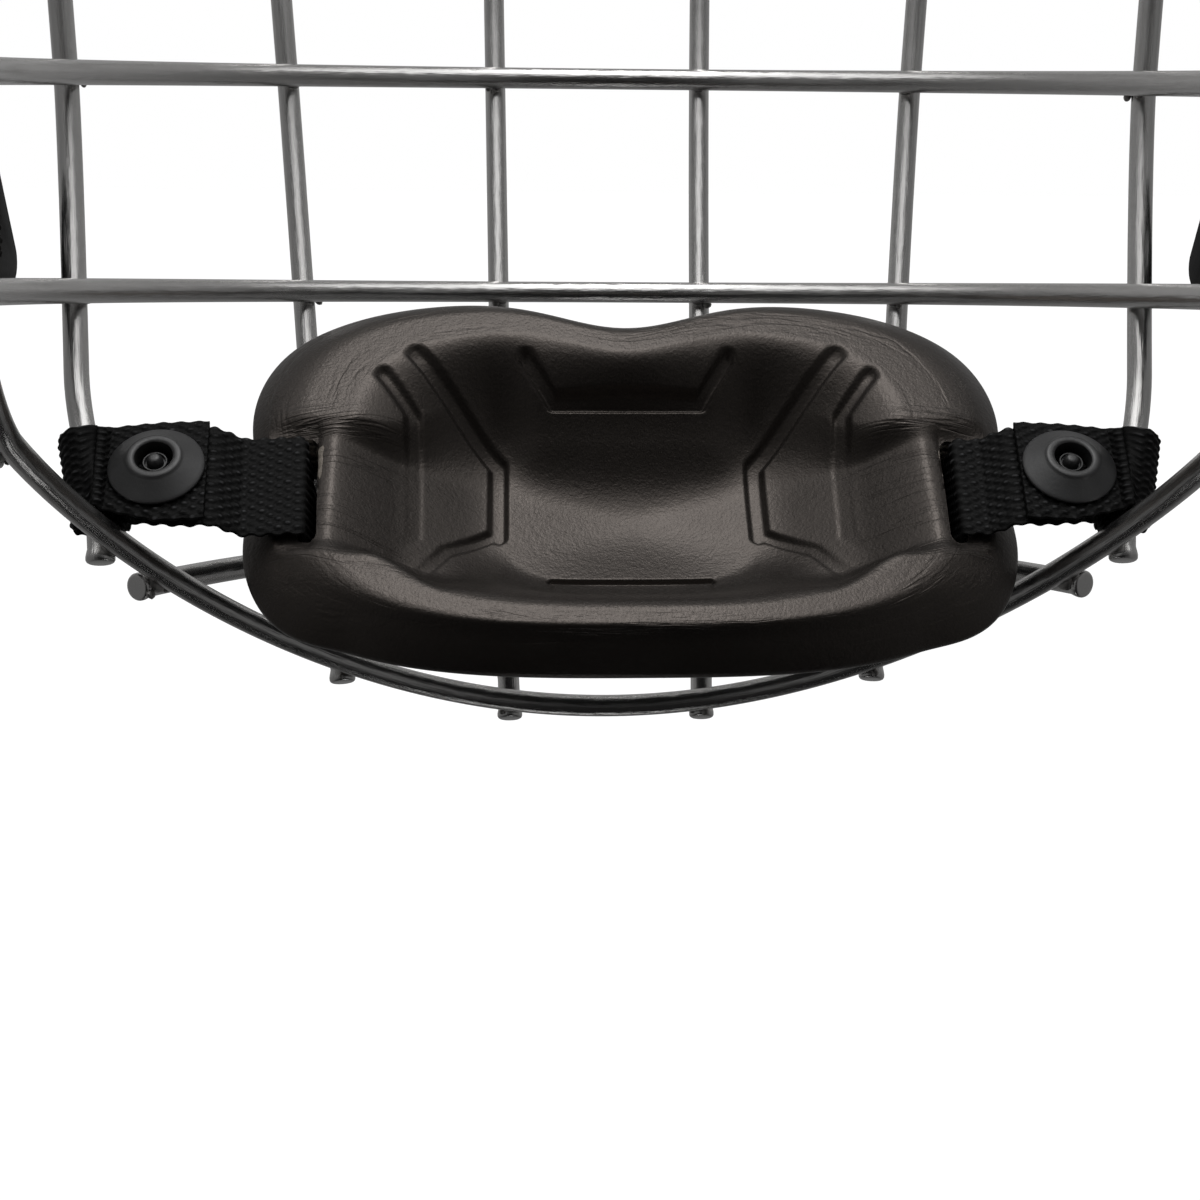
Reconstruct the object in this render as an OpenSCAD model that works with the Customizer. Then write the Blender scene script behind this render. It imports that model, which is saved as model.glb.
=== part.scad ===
// Ice hockey face cage of bent, resistance-welded wire with a padded chin cup on snap straps.
// X points to the wearer's right, Y forward out of the face, Z up.
// The origin is the middle of the brow bar, the axis on which the cage swings in its clips.

/* [Wire grid] */
// Diameter of every wire
wire_d = 3.8; // [3.2:0.1:4.2]
// Half the width of the grid, at its side planes
half_width = 90; // [84:1:98]
// Height of the foremost line of the grid
crown_z = -55; // [-65:1:-48]
// How far the foremost line stands ahead of the brow bar
crown_y = 17; // [12:1:22]
// Height of the chin wire in the middle
chin_z = -218; // [-226:1:-212]
// How far the chin wire lies behind the foremost line
chin_back = 66; // [58:1:72]
// Depth from the front line to the side planes, above the lip
face_depth = 92; // [86:1:98]
// How much deeper the grid gets from the lip down to the chin
jaw_depth = 36; // [28:1:42]
// How far the jaw line rises from the chin to the side planes
jaw_rise = 67; // [60:1:74]
// How far each cut wire end stands past the wire that it is welded to
wire_stub = 4; // [2.5:0.5:5]
// How far the ends of the chin wire stand past the rim
chin_stub = 2.6; // [2:0.2:4]

/* [Wires across] */
// Height of the wire above the eyes
brow_wire_z = -33; // [-37:1:-30]
// Height of the wire below the eyes
eye_wire_z = -72; // [-76:1:-68]
// Height of the wire before the upper lip
lip_wire_z = -110; // [-114:1:-106]
// Height of the wire before the mouth, in the middle
mouth_wire_z = -148.6; // [-152:0.2:-145]
// Height of the wire before the chin, in the middle
chin_wire_z = -191; // [-193:0.5:-188]
// Rise of the mouth wire towards the ears, per millimetre of depth
mouth_wire_rise = 0.112; // [0.05:0.01:0.14]
// Rise of the chin wire towards the ears, per millimetre of depth
chin_wire_rise = 0.11; // [0.08:0.01:0.14]

/* [Upright wires] */
// Place of the inner uprights round the face, in degrees from the middle
inner_turn = 12.6; // [10:0.2:14]
// Place of the second uprights
second_turn = 40.4; // [37:0.2:43]
// Place of the third uprights, which carry the chin straps
third_turn = 72.3; // [70:0.1:74]
// Place of the temple uprights
temple_turn = 92; // [91:0.5:93]
// Share of its turn that an inner upright keeps down at the chin
inner_gather = 0.88; // [0.8:0.01:0.9]
// Share of its turn that a second upright keeps
second_gather = 0.74; // [0.7:0.01:0.8]
// Share of its turn that a third upright keeps
third_gather = 0.79; // [0.76:0.01:0.82]
// Share of its turn that a temple upright keeps
temple_gather = 0.78; // [0.74:0.01:0.82]

/* [Rim and brow bar] */
// Bend radius of the brow bar at the temples
brow_bend_r = 36; // [30:1:42]
// How far the brow bar runs straight back past its bends
brow_tail = 22; // [14:1:26]
// Radius of the rim above the temples
temple_r = 45; // [38:1:50]
// Radius of the rim behind the jaw
jaw_r = 21; // [16:1:26]
// Place round the face where the rim leaves the jaw line
jaw_turn = 82; // [78:1:84]

/* [Hinge clips] */
// Distance from the middle to each clip
clip_x = 34; // [28:1:38]
// Width of a clip
clip_w = 20; // [16:1:24]
// Wall round the bar
clip_wall = 2.6; // [2:0.1:3.4]
// Length of the tab from the bar to its screw hole
clip_reach = 20; // [17:1:26]
// Thickness of the tab
clip_tab_t = 3.6; // [3:0.1:4.4]
// Screw hole
clip_hole_d = 5.2; // [4.4:0.1:6]
// Screw head recess
clip_sink_d = 9; // [8:0.1:10]
// Lean of the tab back from upright
clip_lean = 15; // [5:1:25]
// Running clearance of a clip on the bar, on the radius
clip_play = 0.08; // [0.04:0.01:0.1]

/* [Chin cup] */
// Half the width of the cup
cup_half_w = 61; // [58:0.5:63]
// Half the height of the cup
cup_half_h = 38.5; // [35:0.5:40]
// Depth of the bowl below its rolled edge
cup_bowl = 17; // [14:0.5:20]
// Thickness of the pad under the bowl
pad_t = 5; // [4:0.5:6]
// Dip in the upper edge below the lip
cup_dip = 6.5; // [3:0.5:8]
// Step of the moulded channels
channel_step = 1.4; // [0.8:0.1:2]
// Thickness of the backing shell
shell_t = 1.6; // [1.2:0.1:2.2]
// Lean of the cup back from upright
cup_tilt = 52; // [48:1:55]
// Height of the straps' middle above the feet of the uprights that carry them
strap_foot = 9; // [8.5:0.1:10.5]
// Distance from the middle of the cup to each strap slot
slot_u = 50.5; // [48.5:0.5:52]
// How far the cup hangs off towards the wearer's right
cup_shift = 2.7; // [0:0.3:3.6]
// Height of the cup's middle above the straps, along its own plane
cup_lift = 6; // [4:0.1:7]
// Depth of the cup's rolled edge below the straps' plane
cup_drop = 1.5; // [1:0.1:2.5]

/* [Straps and snaps] */
// Width of the webbing
web_w = 19; // [18:0.5:21]
// Thickness of the webbing
web_t = 1.4; // [1:0.1:1.6]
// Slack between a strap loop and its wire
loop_slack = 1.2; // [0.8:0.1:1.3]
// Rise of the straps towards the cup, in degrees
strap_rise = 3; // [0:0.5:5]
// Height of the snapped layers above the wire's middle
strap_lift = 1.6; // [1.2:0.1:2]
// Distance from the wire to the snap
snap_u = 9.9; // [9.7:0.1:11]
// Distance from the wire to the end of the flap
flap_u = 17.2; // [15:0.2:19]
// Diameter of the snap cap
cap_d = 14.4; // [13:0.1:14.8]
// Diameter of the stud
stud_d = 3.7; // [3:0.1:4.4]
// Free play of the stud in the cap, on the radius
snap_play = 1; // [0.8:0.1:1.2]

/* [Side straps] */
// How far below the lip wire each side strap goes round the rim
side_strap_drop = 13.2; // [12:0.2:15]
// Length of the webbing from the rim to the end in its tab
side_web_l = 37; // [32:1:40]
// Length of the moulded tab
tab_l = 30; // [27:1:34]
// Width of the moulded tab
tab_w = 24; // [22.5:0.5:26]
// Thickness of the moulded tab
tab_t = 3; // [2.4:0.1:3.6]
// How far the tab's front edge leans back at the top
tab_lean = 9; // [6:1:11]
// Button hole of the tab
tab_hole_d = 7; // [6:0.2:8]
// Downward slope of the side straps, in degrees
side_slope = 7; // [4:1:10]

/* [Hidden] */
$fn = 48;
r = wire_d / 2;
wire_sides = 10;
steel = "silver";
plastic = "dimgray";
// Height over which the grid changes from the brow bar's plan to the face's
brow_blend = 70;
// Power of the sweep from the crown back to the chin
chin_power = 1.6;
// Centre of the head, from which the wires' rings are turned
head = [0, -70, -110];

// Small helpers
function clamp01(s) = min(1, max(0, s));
function ease(s) = let (c = clamp01(s)) c * c * (3 - 2 * c);
function mix(a, b, s) = a + (b - a) * s;
function unit(v) = v / norm(v);
function rad(a) = a * PI / 180;

// The skin is the smooth surface on which the uprights lie outside and the others inside.
// It is read by a turn t round the face, in degrees, and a height z.
function front_y(z) = z > crown_z
    ? crown_y * (1 - pow((z - crown_z) / crown_z, 2))
    : crown_y - chin_back * pow((crown_z - z) / (crown_z - chin_z), chin_power);
function side_depth(z) = face_depth
    + jaw_depth * pow(max(0, lip_wire_z - z) / (lip_wire_z - chin_z), 1.3);
function skin_x(t) = half_width * sin(max(-90, min(90, t)));
brow_skin_r = brow_bend_r + r;
function brow_drop(t) = let (over = max(0, abs(skin_x(t)) - (half_width - brow_skin_r)))
    brow_skin_r - sqrt(max(0, pow(brow_skin_r, 2) - pow(over, 2)))
    + rad(max(0, abs(t) - 90)) * sqrt(brow_skin_r * half_width);
function face_drop(t, z) = side_depth(z)
    * (abs(t) < 90 ? 1 - cos(t) : 1 + rad(abs(t) - 90));
function skin(t, z) = [skin_x(t),
    front_y(z) - mix(brow_drop(t) - r, face_drop(t, z), ease(-z / brow_blend)), z];
function skin_out(t, z) = unit(cross(skin(t, z + 0.5) - skin(t, z - 0.5),
    skin(t + 0.5, z) - skin(t - 0.5, z)));
function off_skin(t, z, off) = skin(t, z) + off * skin_out(t, z);

// A wire is a tube with flat cut ends along a path of points.
module wire(path) {
    n = len(path);
    s = wire_sides;
    along = [for (i = [0 : n - 1]) unit(path[min(n - 1, i + 1)] - path[max(0, i - 1)])];
    rings = [for (i = [0 : n - 1])
        let (out = path[i] - head, a = unit(out - (out * along[i]) * along[i]),
            b = cross(along[i], a))
        for (k = [0 : s - 1]) path[i] + r * (cos(k * 360 / s) * a + sin(k * 360 / s) * b)];
    walls = [for (i = [0 : n - 2], k = [0 : s - 1])
        let (p = i * s + k, q = i * s + (k + 1) % s)
        each [[p, p + s, q + s], [p, q + s, q]]];
    polyhedron(rings, concat(walls, [[for (k = [0 : s - 1]) k],
        [for (k = [s - 1 : -1 : 0]) (n - 1) * s + k]]));
}

// The jaw line of the rim, then the side bar behind it, in the side plane.
function jaw_z(t) = let (c = 1 - cos(t)) chin_z + jaw_rise * c * (1.25 - 0.25 * c);
function jaw_point(t) = off_skin(t, jaw_z(t), -3 * r);
jaw_end = jaw_point(jaw_turn);
jaw_dir = unit(jaw_end - jaw_point(jaw_turn - 2));
// Angle of the jaw line where it leaves for the side bar, from straight back
jaw_slope = atan2(jaw_dir.z, -jaw_dir.y);
side_y = jaw_end.y - jaw_r * (1 - sin(jaw_slope));
jaw_mid_z = jaw_end.z + jaw_r * cos(jaw_slope);
rim_x = half_width - 3 * r;
bar_x = half_width - r;
bar_end_y = -brow_bend_r - brow_tail;
rim_side = concat(
    [for (a = [10 : 10 : 90 - jaw_slope]) let (f = 270 - jaw_slope - a)
        [mix(jaw_end.x, rim_x, a / (90 - jaw_slope)), side_y + jaw_r + jaw_r * cos(f),
            jaw_mid_z + jaw_r * sin(f)]],
    [for (i = [0 : 4]) [rim_x, side_y, mix(jaw_mid_z, -temple_r, i / 4)]],
    [for (a = [9 : 9 : 90]) [mix(rim_x, bar_x, ease(a / 90)),
        side_y + temple_r * (1 - cos(a)), -temple_r * (1 - sin(a))]],
    [[bar_x, bar_end_y, 0]]);
function mirrored(path) = [for (i = [len(path) - 1 : -1 : 0]) [-path[i].x, path[i].y, path[i].z]];
module rim_wire() color(steel)
    wire(concat(mirrored(rim_side), [for (i = [-15 : 15]) jaw_point(i * jaw_turn / 15)],
        rim_side));
// Depth of the rim's middle at a height, on the side planes
function rim_y(z) = lookup(z, [for (p = rim_side) [p.z, p.y]]);

// The brow bar is straight between its clips, so that both share one axis.
module brow_bar() color(steel) {
    straight = half_width - brow_skin_r;
    rotate([0, 90, 0]) cylinder(h = 2 * straight, d = wire_d, center = true);
    for (s = [0, 1]) mirror([s, 0, 0]) {
        translate([straight, -brow_bend_r, 0]) rotate_extrude(angle = 90, $fn = 96)
            translate([brow_bend_r, 0]) circle(d = wire_d);
        translate([bar_x, -brow_bend_r, 0]) rotate([90, 0, 0])
            cylinder(h = brow_tail, d = wire_d);
    }
}

// A wire across lies inside the skin in one plane, which may rise towards the ears.
function level_z(t, z, rise) = let (z1 = z + rise * (front_y(z) - skin(t, z).y))
    z + rise * (front_y(z) - skin(t, z1).y);
function across_point(t, z, rise) = off_skin(t, level_z(t, z, rise), -r);
// Turn at which a wire across meets the rim, halved in again and again
function past_rim(t, z, rise) = let (p = across_point(t, z, rise))
    t < jaw_turn && p.z < jaw_mid_z ? p.z < jaw_z(t) : p.y < rim_y(p.z);
function rim_turn(z, rise, lo = 20, hi = 125, i = 16) = i == 0 ? (lo + hi) / 2
    : past_rim((lo + hi) / 2, z, rise) ? rim_turn(z, rise, lo, (lo + hi) / 2, i - 1)
    : rim_turn(z, rise, (lo + hi) / 2, hi, i - 1);
module across(z, rise = 0, stub = wire_stub, n = 17) color(steel) {
    meet = rim_turn(z, rise);
    last = across_point(meet, z, rise);
    way = unit(last - across_point(meet - 2, z, rise));
    half = concat([for (i = [1 : n - 1]) across_point(meet * i / (n - 1), z, rise)],
        [last + stub * way]);
    wire(concat(mirrored(half), [across_point(0, z, rise)], half));
}

// An upright lies outside the skin. Its foot bends in to pass outside the rim.
turns = [inner_turn, second_turn, third_turn, temple_turn];
gathers = [inner_gather, second_gather, third_gather, temple_gather];
bends = [12, 12, 24, 12];
function upright_turn(turn, z) = turn * mix(1, lookup(abs(turn), [for (i = [0 : 3])
    [turns[i], gathers[i]]]), pow(max(0, crown_z - z) / (crown_z - chin_z), 1.3));
function foot_z(turn, z = -190, i = 8) = i == 0 ? z
    : foot_z(turn, jaw_z(upright_turn(turn, z)), i - 1);
function upright_point(turn, z, bend) = off_skin(upright_turn(turn, z), z,
    r - 2 * r * ease((foot_z(turn) + bend + 1 - z) / bend));
module upright(turn, bend = 12, n = 34) color(steel) {
    foot = foot_z(turn);
    wire([for (i = [0 : n]) upright_point(turn, mix(wire_stub, foot - 0.5 * wire_stub,
        i / n), bend)]);
}

// A nugget of weld metal fills the crotch where two wires touch.
levels = [[brow_wire_z, 0], [eye_wire_z, 0], [lip_wire_z, 0],
    [mouth_wire_z, mouth_wire_rise], [chin_wire_z, chin_wire_rise]];
function cross_z(turn, z, rise, i = 3) = i == 0 ? z
    : level_z(upright_turn(turn, cross_z(turn, z, rise, i - 1)), z, rise);
module nugget(t, z, off = 0) {
    p = off_skin(t, z, off);
    d = skin_out(t, z);
    translate(p) rotate([0, acos(d.z), atan2(d.y, d.x)])
        cylinder(h = 0.5 * wire_d, d = 0.85 * wire_d, center = true, $fn = 16);
}
module weld_nuggets() color(steel) for (s = [-1, 1]) {
    for (turn = turns) {
        for (l = levels) let (z = cross_z(turn, l[0], l[1]))
            if (z > foot_z(turn) + wire_d) nugget(s * upright_turn(turn, z), z);
        let (z = foot_z(turn)) nugget(s * upright_turn(turn, z), z, -2 * r);
        nugget(s * turn, 0);
    }
    for (l = levels) let (t = rim_turn(l[0], l[1]))
        nugget(s * t, level_z(t, l[0], l[1]), -2 * r);
}

// A moulded clip closes round the bar and ends in a tab with a countersunk screw hole.
module clip(side) color(plastic) {
    ring_d = wire_d + 2 * clip_play + 2 * clip_wall;
    tab_end = clip_w / 2;
    translate([side * clip_x, 0, 0]) rotate([clip_lean, 0, 0]) difference() {
        union() {
            rotate([0, 90, 0]) cylinder(h = clip_w, d = ring_d, center = true);
            translate([-clip_w / 2, -ring_d / 2, 0])
                cube([clip_w, clip_tab_t, clip_reach]);
            translate([0, -ring_d / 2, clip_reach]) rotate([-90, 0, 0])
                cylinder(h = clip_tab_t, d = clip_w);
            // Two ribs brace the tab against the ring.
            for (x = [-1, 1]) translate([x * (clip_w / 2 - 1.2) - 1.2, 0, 0])
                rotate([90, 0, 90]) linear_extrude(2.4)
                polygon([[clip_tab_t - ring_d / 2 - 0.5, 0], [ring_d / 2 - 0.6, 1.2],
                    [clip_tab_t - ring_d / 2, clip_reach - 6],
                    [clip_tab_t - ring_d / 2 - 0.5, clip_reach - 6]]);
        }
        rotate([0, 90, 0]) cylinder(h = clip_w + 2, d = wire_d + 2 * clip_play, center = true);
        translate([0, -ring_d / 2 - 1, clip_reach]) rotate([-90, 0, 0])
            cylinder(h = clip_tab_t + 2, d = clip_hole_d);
        translate([0, clip_tab_t - ring_d / 2 - 1.2, clip_reach]) rotate([-90, 0, 0])
            cylinder(h = 2, d = clip_sink_d);
    }
}

// The straps go round the third uprights, and the cup hangs between them.
cup_z = foot_z(third_turn) + strap_foot;
strap_at = upright_point(third_turn, cup_z, bends[2]);
strap_dir = unit(upright_point(third_turn, cup_z + 8, bends[2])
    - upright_point(third_turn, cup_z - 8, bends[2]));
// The cup's own axes: u to the wearer's right, v up along the cup, w out of the bowl
cup_v = [0, sin(cup_tilt), cos(cup_tilt)];
cup_w = [0, -cos(cup_tilt), sin(cup_tilt)];
cup_o = [cup_shift, strap_at.y, strap_at.z] + cup_lift * cup_v - cup_drop * cup_w;
module in_cup() translate(cup_o) rotate([90 - cup_tilt, 0, 0]) children();

// Half outline of the cup at an angle a, shrunk to a share k about the middle
function cup_edge(a, k = 1) = let (c = cos(a), s = sin(a), e = s > 0 ? 0.57 : 0.65,
        u = cup_half_w * sign(c) * pow(abs(c), e), v = cup_half_h * sign(s) * pow(abs(s), e))
    k * [u - 2 * sign(c) * exp(-pow(v / 9, 2)),
        v - (s > 0 ? cup_dip * exp(-pow(u / 16, 2)) : 0)];
floor_k = 0.42;
crest_in = 0.74;
crest_out = 0.84;
edge_w = -4.5;
side_w = -10;
// Moulded panels: the side panels stand above a waisted middle panel, as do a pad at the
// top of the bowl and a sill at its bottom.
function channel(u, v) = let (side = 22.5 + 0.5 * max(0, v - 11) + 2 * max(0, -3 - v))
    channel_step * max(ease((abs(u) - side) / 4), ease((15 - abs(u)) / 3) * max(
        ease((v - 18) / 4), ease((-11 - v) / 4)));
// Height of the pad's face at a share k of the way out to its edge
function roll_w(k) = edge_w * pow(max(0, k - crest_out) / (1 - crest_out), 2)
    - cup_bowl * (1 - ease((k - floor_k) / (crest_in - floor_k)))
    * (1 - 0.08 * min(1, pow(k / floor_k, 2)));
// The outer roll is pressed down where a strap crosses it.
seat_w = -2.2;
function face_w(k, p) = abs(p.x) > slot_u - 4 && abs(p.y - slot_v(1)) < web_w / 2 + 6.5
    ? min(roll_w(k), seat_w) : roll_w(k) + (k < 0.68 ? channel(p.x, p.y) : 0);
function back_w(k) = -cup_bowl - pad_t + (cup_bowl + pad_t + side_w) * ease((k - 0.3) / 0.6);
around = 48;
face_k = [0.12, 0.24, 0.34, 0.42, 0.5, 0.58, 0.66, 0.74, 0.84, 0.89, 0.94, 0.98, 1];
back_k = [0.9, 0.8, 0.65, 0.5, 0.35, 0.18];

// A dish is closed from rings of points, the first and last of which close on a middle point.
module dish(rings, first, last) {
    n = len(rings[0]);
    m = len(rings);
    pts = concat([first], [for (ring = rings) each ring], [last]);
    polyhedron(pts, concat(
        [for (j = [0 : n - 1]) [0, 1 + (j + 1) % n, 1 + j]],
        [for (i = [0 : m - 2], j = [0 : n - 1]) let (p = 1 + i * n + j, q = 1 + i * n + (j + 1) % n)
            each [[p, q, q + n], [p, q + n, p + n]]],
        [for (j = [0 : n - 1]) [m * n + 1, 1 + (m - 1) * n + j, 1 + (m - 1) * n + (j + 1) % n]]));
}
slot_w = web_t + 1.2;
slot_l = web_w + 1.6;
// Distance along a strap from its wire to its slot, on either side
function slot_p(side) = (strap_at.x - side * cup_shift - slot_u) / cos(strap_rise);
function slot_v(side) = slot_p(side) * sin(strap_rise) - cup_lift;
module slots() for (s = [-1, 1]) translate([s * slot_u, slot_v(s), 0])
    rotate([0, 0, -s * strap_rise]) translate([-slot_w / 2, -slot_l / 2, -60])
    cube([slot_w, slot_l, 80]);
function cup_ring(k) = [for (j = [0 : around - 1]) cup_edge(j * 360 / around, k)];
module chin_pad() color("saddlebrown") in_cup() difference() {
    dish(concat([for (k = face_k) [for (p = cup_ring(k)) [p.x, p.y, face_w(k, p)]]],
        [for (e = [[0.985, -7], [0.95, side_w + 0.5]]) [for (p = cup_ring(e[0])) [p.x, p.y, e[1]]]],
        [for (k = back_k) [for (p = cup_ring(k)) [p.x, p.y, back_w(k)]]]),
        [0, 0, -cup_bowl], [0, 0, back_w(0)]);
    slots();
}
shell_k = [0.18, 0.35, 0.5, 0.65, 0.8, 0.9, 0.94];
shell_gap = 0.05;
module cup_shell() color("black") in_cup() difference() {
    dish(concat(
        [for (k = shell_k) [for (p = cup_ring(k)) [p.x, p.y, back_w(k) - shell_gap]]],
        [for (i = [len(shell_k) - 1 : -1 : 0])
            [for (p = cup_ring(shell_k[i])) [p.x, p.y, back_w(shell_k[i]) - shell_gap - shell_t]]]),
        [0, 0, back_w(0) - shell_gap], [0, 0, back_w(0) - shell_gap - shell_t]);
    slots();
}

// A strap is a band of webbing. It comes up through its slot, runs below the snap and round
// the wire, and comes back over itself as the flap. Points are counted along the strap from
// the wire, p, and out of the cup's plane, q. Near the wire the band follows the wire's
// slope (turn 0), and from there it twists to lie flat with the cup (turn 1). Its lower edge
// is drawn in where the rim passes.
loop_in = r + loop_slack;
loop_mid = loop_in + web_t / 2;
loop_out = loop_in + web_t;
layer_gap = 0.2;
base_q = strap_lift - layer_gap / 2 - web_t / 2;
flap_q = strap_lift + layer_gap / 2 + web_t / 2;
loop_low = 7;
loop_high = 8;
half_w = web_w / 2;
// Where the flap starts to peel, and its turn there
peel_p = 1.1;
peel_turn = 0.9;
flat_v = sin(strap_rise) * [1, 0, 0] + cos(strap_rise) * cup_v;
flat_u = -cos(strap_rise) * [1, 0, 0] + sin(strap_rise) * cup_v;
wire_side = unit([-1, 0, 0] + strap_dir.x * strap_dir);
function band_at(p, q, turn, along) = let (d = unit(mix(strap_dir, flat_v, turn)),
        side = mix(wire_side, flat_u, turn), u = unit(side - (side * d) * d))
    strap_at + p * u + q * cross(d, u) + along * d;
// Half the thickness of the band at each point, mitred where the band bends
module band(path) {
    n = len(path);
    way = [for (i = [0 : n - 2]) let (d = path[i + 1] - path[i]) unit([d.x, d.y])];
    rings = [for (i = [0 : n - 1])
        let (a = way[max(0, i - 1)], b = way[min(n - 2, i)], m = unit([-a.y - b.y, a.x + b.x]),
            h = web_t / 2 / (m * [-a.y, a.x]), t = path[i][2])
        for (c = [[1, 1], [-1, 1], [-1, -1], [1, -1]])
            band_at(path[i].x + c[0] * h * m.x, path[i].y + c[0] * h * m.y, t,
                c[1] < 0 ? -path[i][3] : len(path[i]) > 4 ? path[i][4] : half_w)];
    walls = [for (i = [0 : n - 2], k = [0 : 3]) let (p = i * 4 + k, q = i * 4 + (k + 1) % 4)
        each [[p, p + 4, q + 4], [p, q + 4, q]]];
    polyhedron(rings, concat(walls, [[0, 1, 2], [0, 2, 3]],
        [for (f = [[0, 2, 1], [0, 3, 2]]) [for (i = f) (n - 1) * 4 + i]]));
}
module sided(side) mirror([side < 0 ? 1 : 0, 0, 0]) children();
module at_snap() translate(band_at(snap_u, 0, 1, 0)) rotate([90 - cup_tilt, 0, 0]) children();
tail = [for (k = [0.55, 0.66, 0.78]) [slot_u - cup_half_w * k,
    back_w(k) - shell_gap - shell_t - 0.4 - web_t / 2 - cup_drop]];
module strap(side) color("black") sided(side) difference() {
    sp = slot_p(side);
    seat_q = seat_w - cup_drop + 0.25 + web_t / 2;
    band(concat([for (e = tail) [sp + e.x, e.y, 1, half_w]],
        [[sp, tail[2].y - 0.3, 1, half_w], [sp, seat_q, 1, half_w], [22, seat_q, 1, half_w],
            [18, base_q, 1, half_w], [14, base_q, 1, half_w], [6.5, base_q, 1, half_w - 1],
            [4.3, -1.7, 0.5, half_w - 1.5, half_w - 0.5],
            [2, 0.1 - loop_mid, 0, loop_low, loop_high]],
        [for (a = [90 : 18 : 270]) [loop_mid * cos(a), -loop_mid * sin(a), 0, loop_low, loop_high]],
        [[peel_p - 0.25, loop_mid - 0.04, peel_turn, loop_low, loop_high]]));
    at_snap() cylinder(h = 20, d = stud_d + 0.2, center = true);
}
module stud(side) color("black") sided(side) at_snap() {
    under = base_q - web_t / 2 - 0.1;
    translate([0, 0, under - 1.2]) cylinder(h = 1.2, d = 6.4);
    translate([0, 0, under - 0.1]) cylinder(h = flap_q + 2 - under, d = stud_d);
    translate([0, 0, flap_q + 1.9]) intersection() {
        sphere(d = stud_d);
        translate([0, 0, -1]) cylinder(h = 2.2, d = stud_d);
    }
}
cap_edge = snap_u - cap_d / 2;
module flap(side) color("black") sided(side) difference() {
    band([[peel_p, loop_mid - 0.05, peel_turn, loop_low, loop_high],
        [peel_p + 0.5, loop_mid - 0.12, peel_turn, loop_low, loop_high],
        [cap_edge - 0.45, flap_q, 1, loop_low, half_w - 0.6], [snap_u, flap_q, 1, half_w],
        [flap_u, flap_q, 1, half_w]]);
    at_snap() cylinder(h = 20, d = stud_d + 2 * snap_play, center = true);
}
module cap(side) color(plastic) sided(side) at_snap() translate([0, 0, flap_q + web_t / 2])
    rotate_extrude() {
        hole = stud_d / 2 + snap_play;
        polygon([[hole, 0.05], [cap_d / 2, 0.05], [cap_d / 2, 0.5], [hole + 1.5, 2.2],
            [hole + 1.2, 2.8], [hole + 0.3, 2.8], [hole, 2.4]]);
    }

// A side strap closes round the side bar and lies along the outside of the grid.
side_out = half_width + 2 * r + 1.2;
side_strap_z = lip_wire_z - side_strap_drop;

module side_strap(side) color("black") sided(side) {
    translate([rim_x, side_y, side_strap_z - web_w / 2]) linear_extrude(web_w) difference() {
        union() {
            circle(loop_out);
            polygon([[0, loop_out], [loop_out, 0], [side_out - rim_x + web_t, 14],
                [side_out - rim_x, 14]]);
        }
        circle(loop_in);
    }
    on_side() translate([0, 13.5, -web_w / 2]) cube([web_t, side_web_l - 13.5, web_w]);
}
module on_side() translate([side_out, side_y, side_strap_z]) rotate([-side_slope, 0, 0])
    children();
// The moulded tab has a raised edge, a button hole and a pocket in which the webbing ends.
// Its front edge leans back at the top.
tab_pocket = 9;
module side_tab(side) color(plastic) sided(side) on_side()
    translate([-0.6, side_web_l - tab_pocket - 0.2, 0]) rotate([90, 0, 90]) difference() {
        linear_extrude(tab_t) tab_outline(0);
        translate([0, 0, tab_t - 0.8]) linear_extrude(2) tab_outline(1.5);
        translate([-1, -web_w / 2 - 0.2, -1]) cube([1.4 + tab_pocket, web_w + 0.4, 1.75 + web_t]);
        translate([tab_l - tab_w / 2 - 2, 0, -1]) cylinder(h = tab_t + 2, d = tab_hole_d);
    }
module tab_outline(in) {
    h = tab_w / 2;
    nose = 90 - atan2(tab_w, tab_lean);
    function round_at(x, y, rc, a0, a1) = [for (i = [0 : 8]) let (a = mix(a0, a1, i / 8))
        [x + (rc - in) * cos(a), y + (rc - in) * sin(a)]];
    polygon(concat([[in, h - in], [in, in - h]], round_at(tab_l - 4, 4 - h, 4, -90, nose),
        round_at(tab_l - tab_lean - 7, h - 9, 9, nose, 90)));
}

rim_wire();
brow_bar();
across(brow_wire_z);  // across_brow
across(eye_wire_z);  // across_eye
across(lip_wire_z);  // across_lip
across(mouth_wire_z, mouth_wire_rise);  // across_mouth
across(chin_wire_z, chin_wire_rise, chin_stub);  // across_chin
upright(-turns[0], bends[0]);  // upright_l1
upright(-turns[1], bends[1]);  // upright_l2
upright(-turns[2], bends[2]);  // upright_l3
upright(-turns[3], bends[3]);  // upright_l4
upright(turns[0], bends[0]);  // upright_r1
upright(turns[1], bends[1]);  // upright_r2
upright(turns[2], bends[2]);  // upright_r3
upright(turns[3], bends[3]);  // upright_r4
weld_nuggets();
clip(-1);  // clip_left
clip(1);  // clip_right
chin_pad();
cup_shell();
strap(-1);  // strap_left
strap(1);  // strap_right
stud(-1);  // stud_left
stud(1);  // stud_right
flap(-1);  // flap_left
flap(1);  // flap_right
cap(-1);  // cap_left
cap(1);  // cap_right
side_strap(-1);  // side_strap_left
side_strap(1);  // side_strap_right
side_tab(-1);  // side_tab_left
side_tab(1);  // side_tab_right
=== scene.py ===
from math import atan2, cos, pi, radians, sin, sqrt

import bmesh
import bpy
import numpy as np
from mathutils import Matrix, Vector


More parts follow.
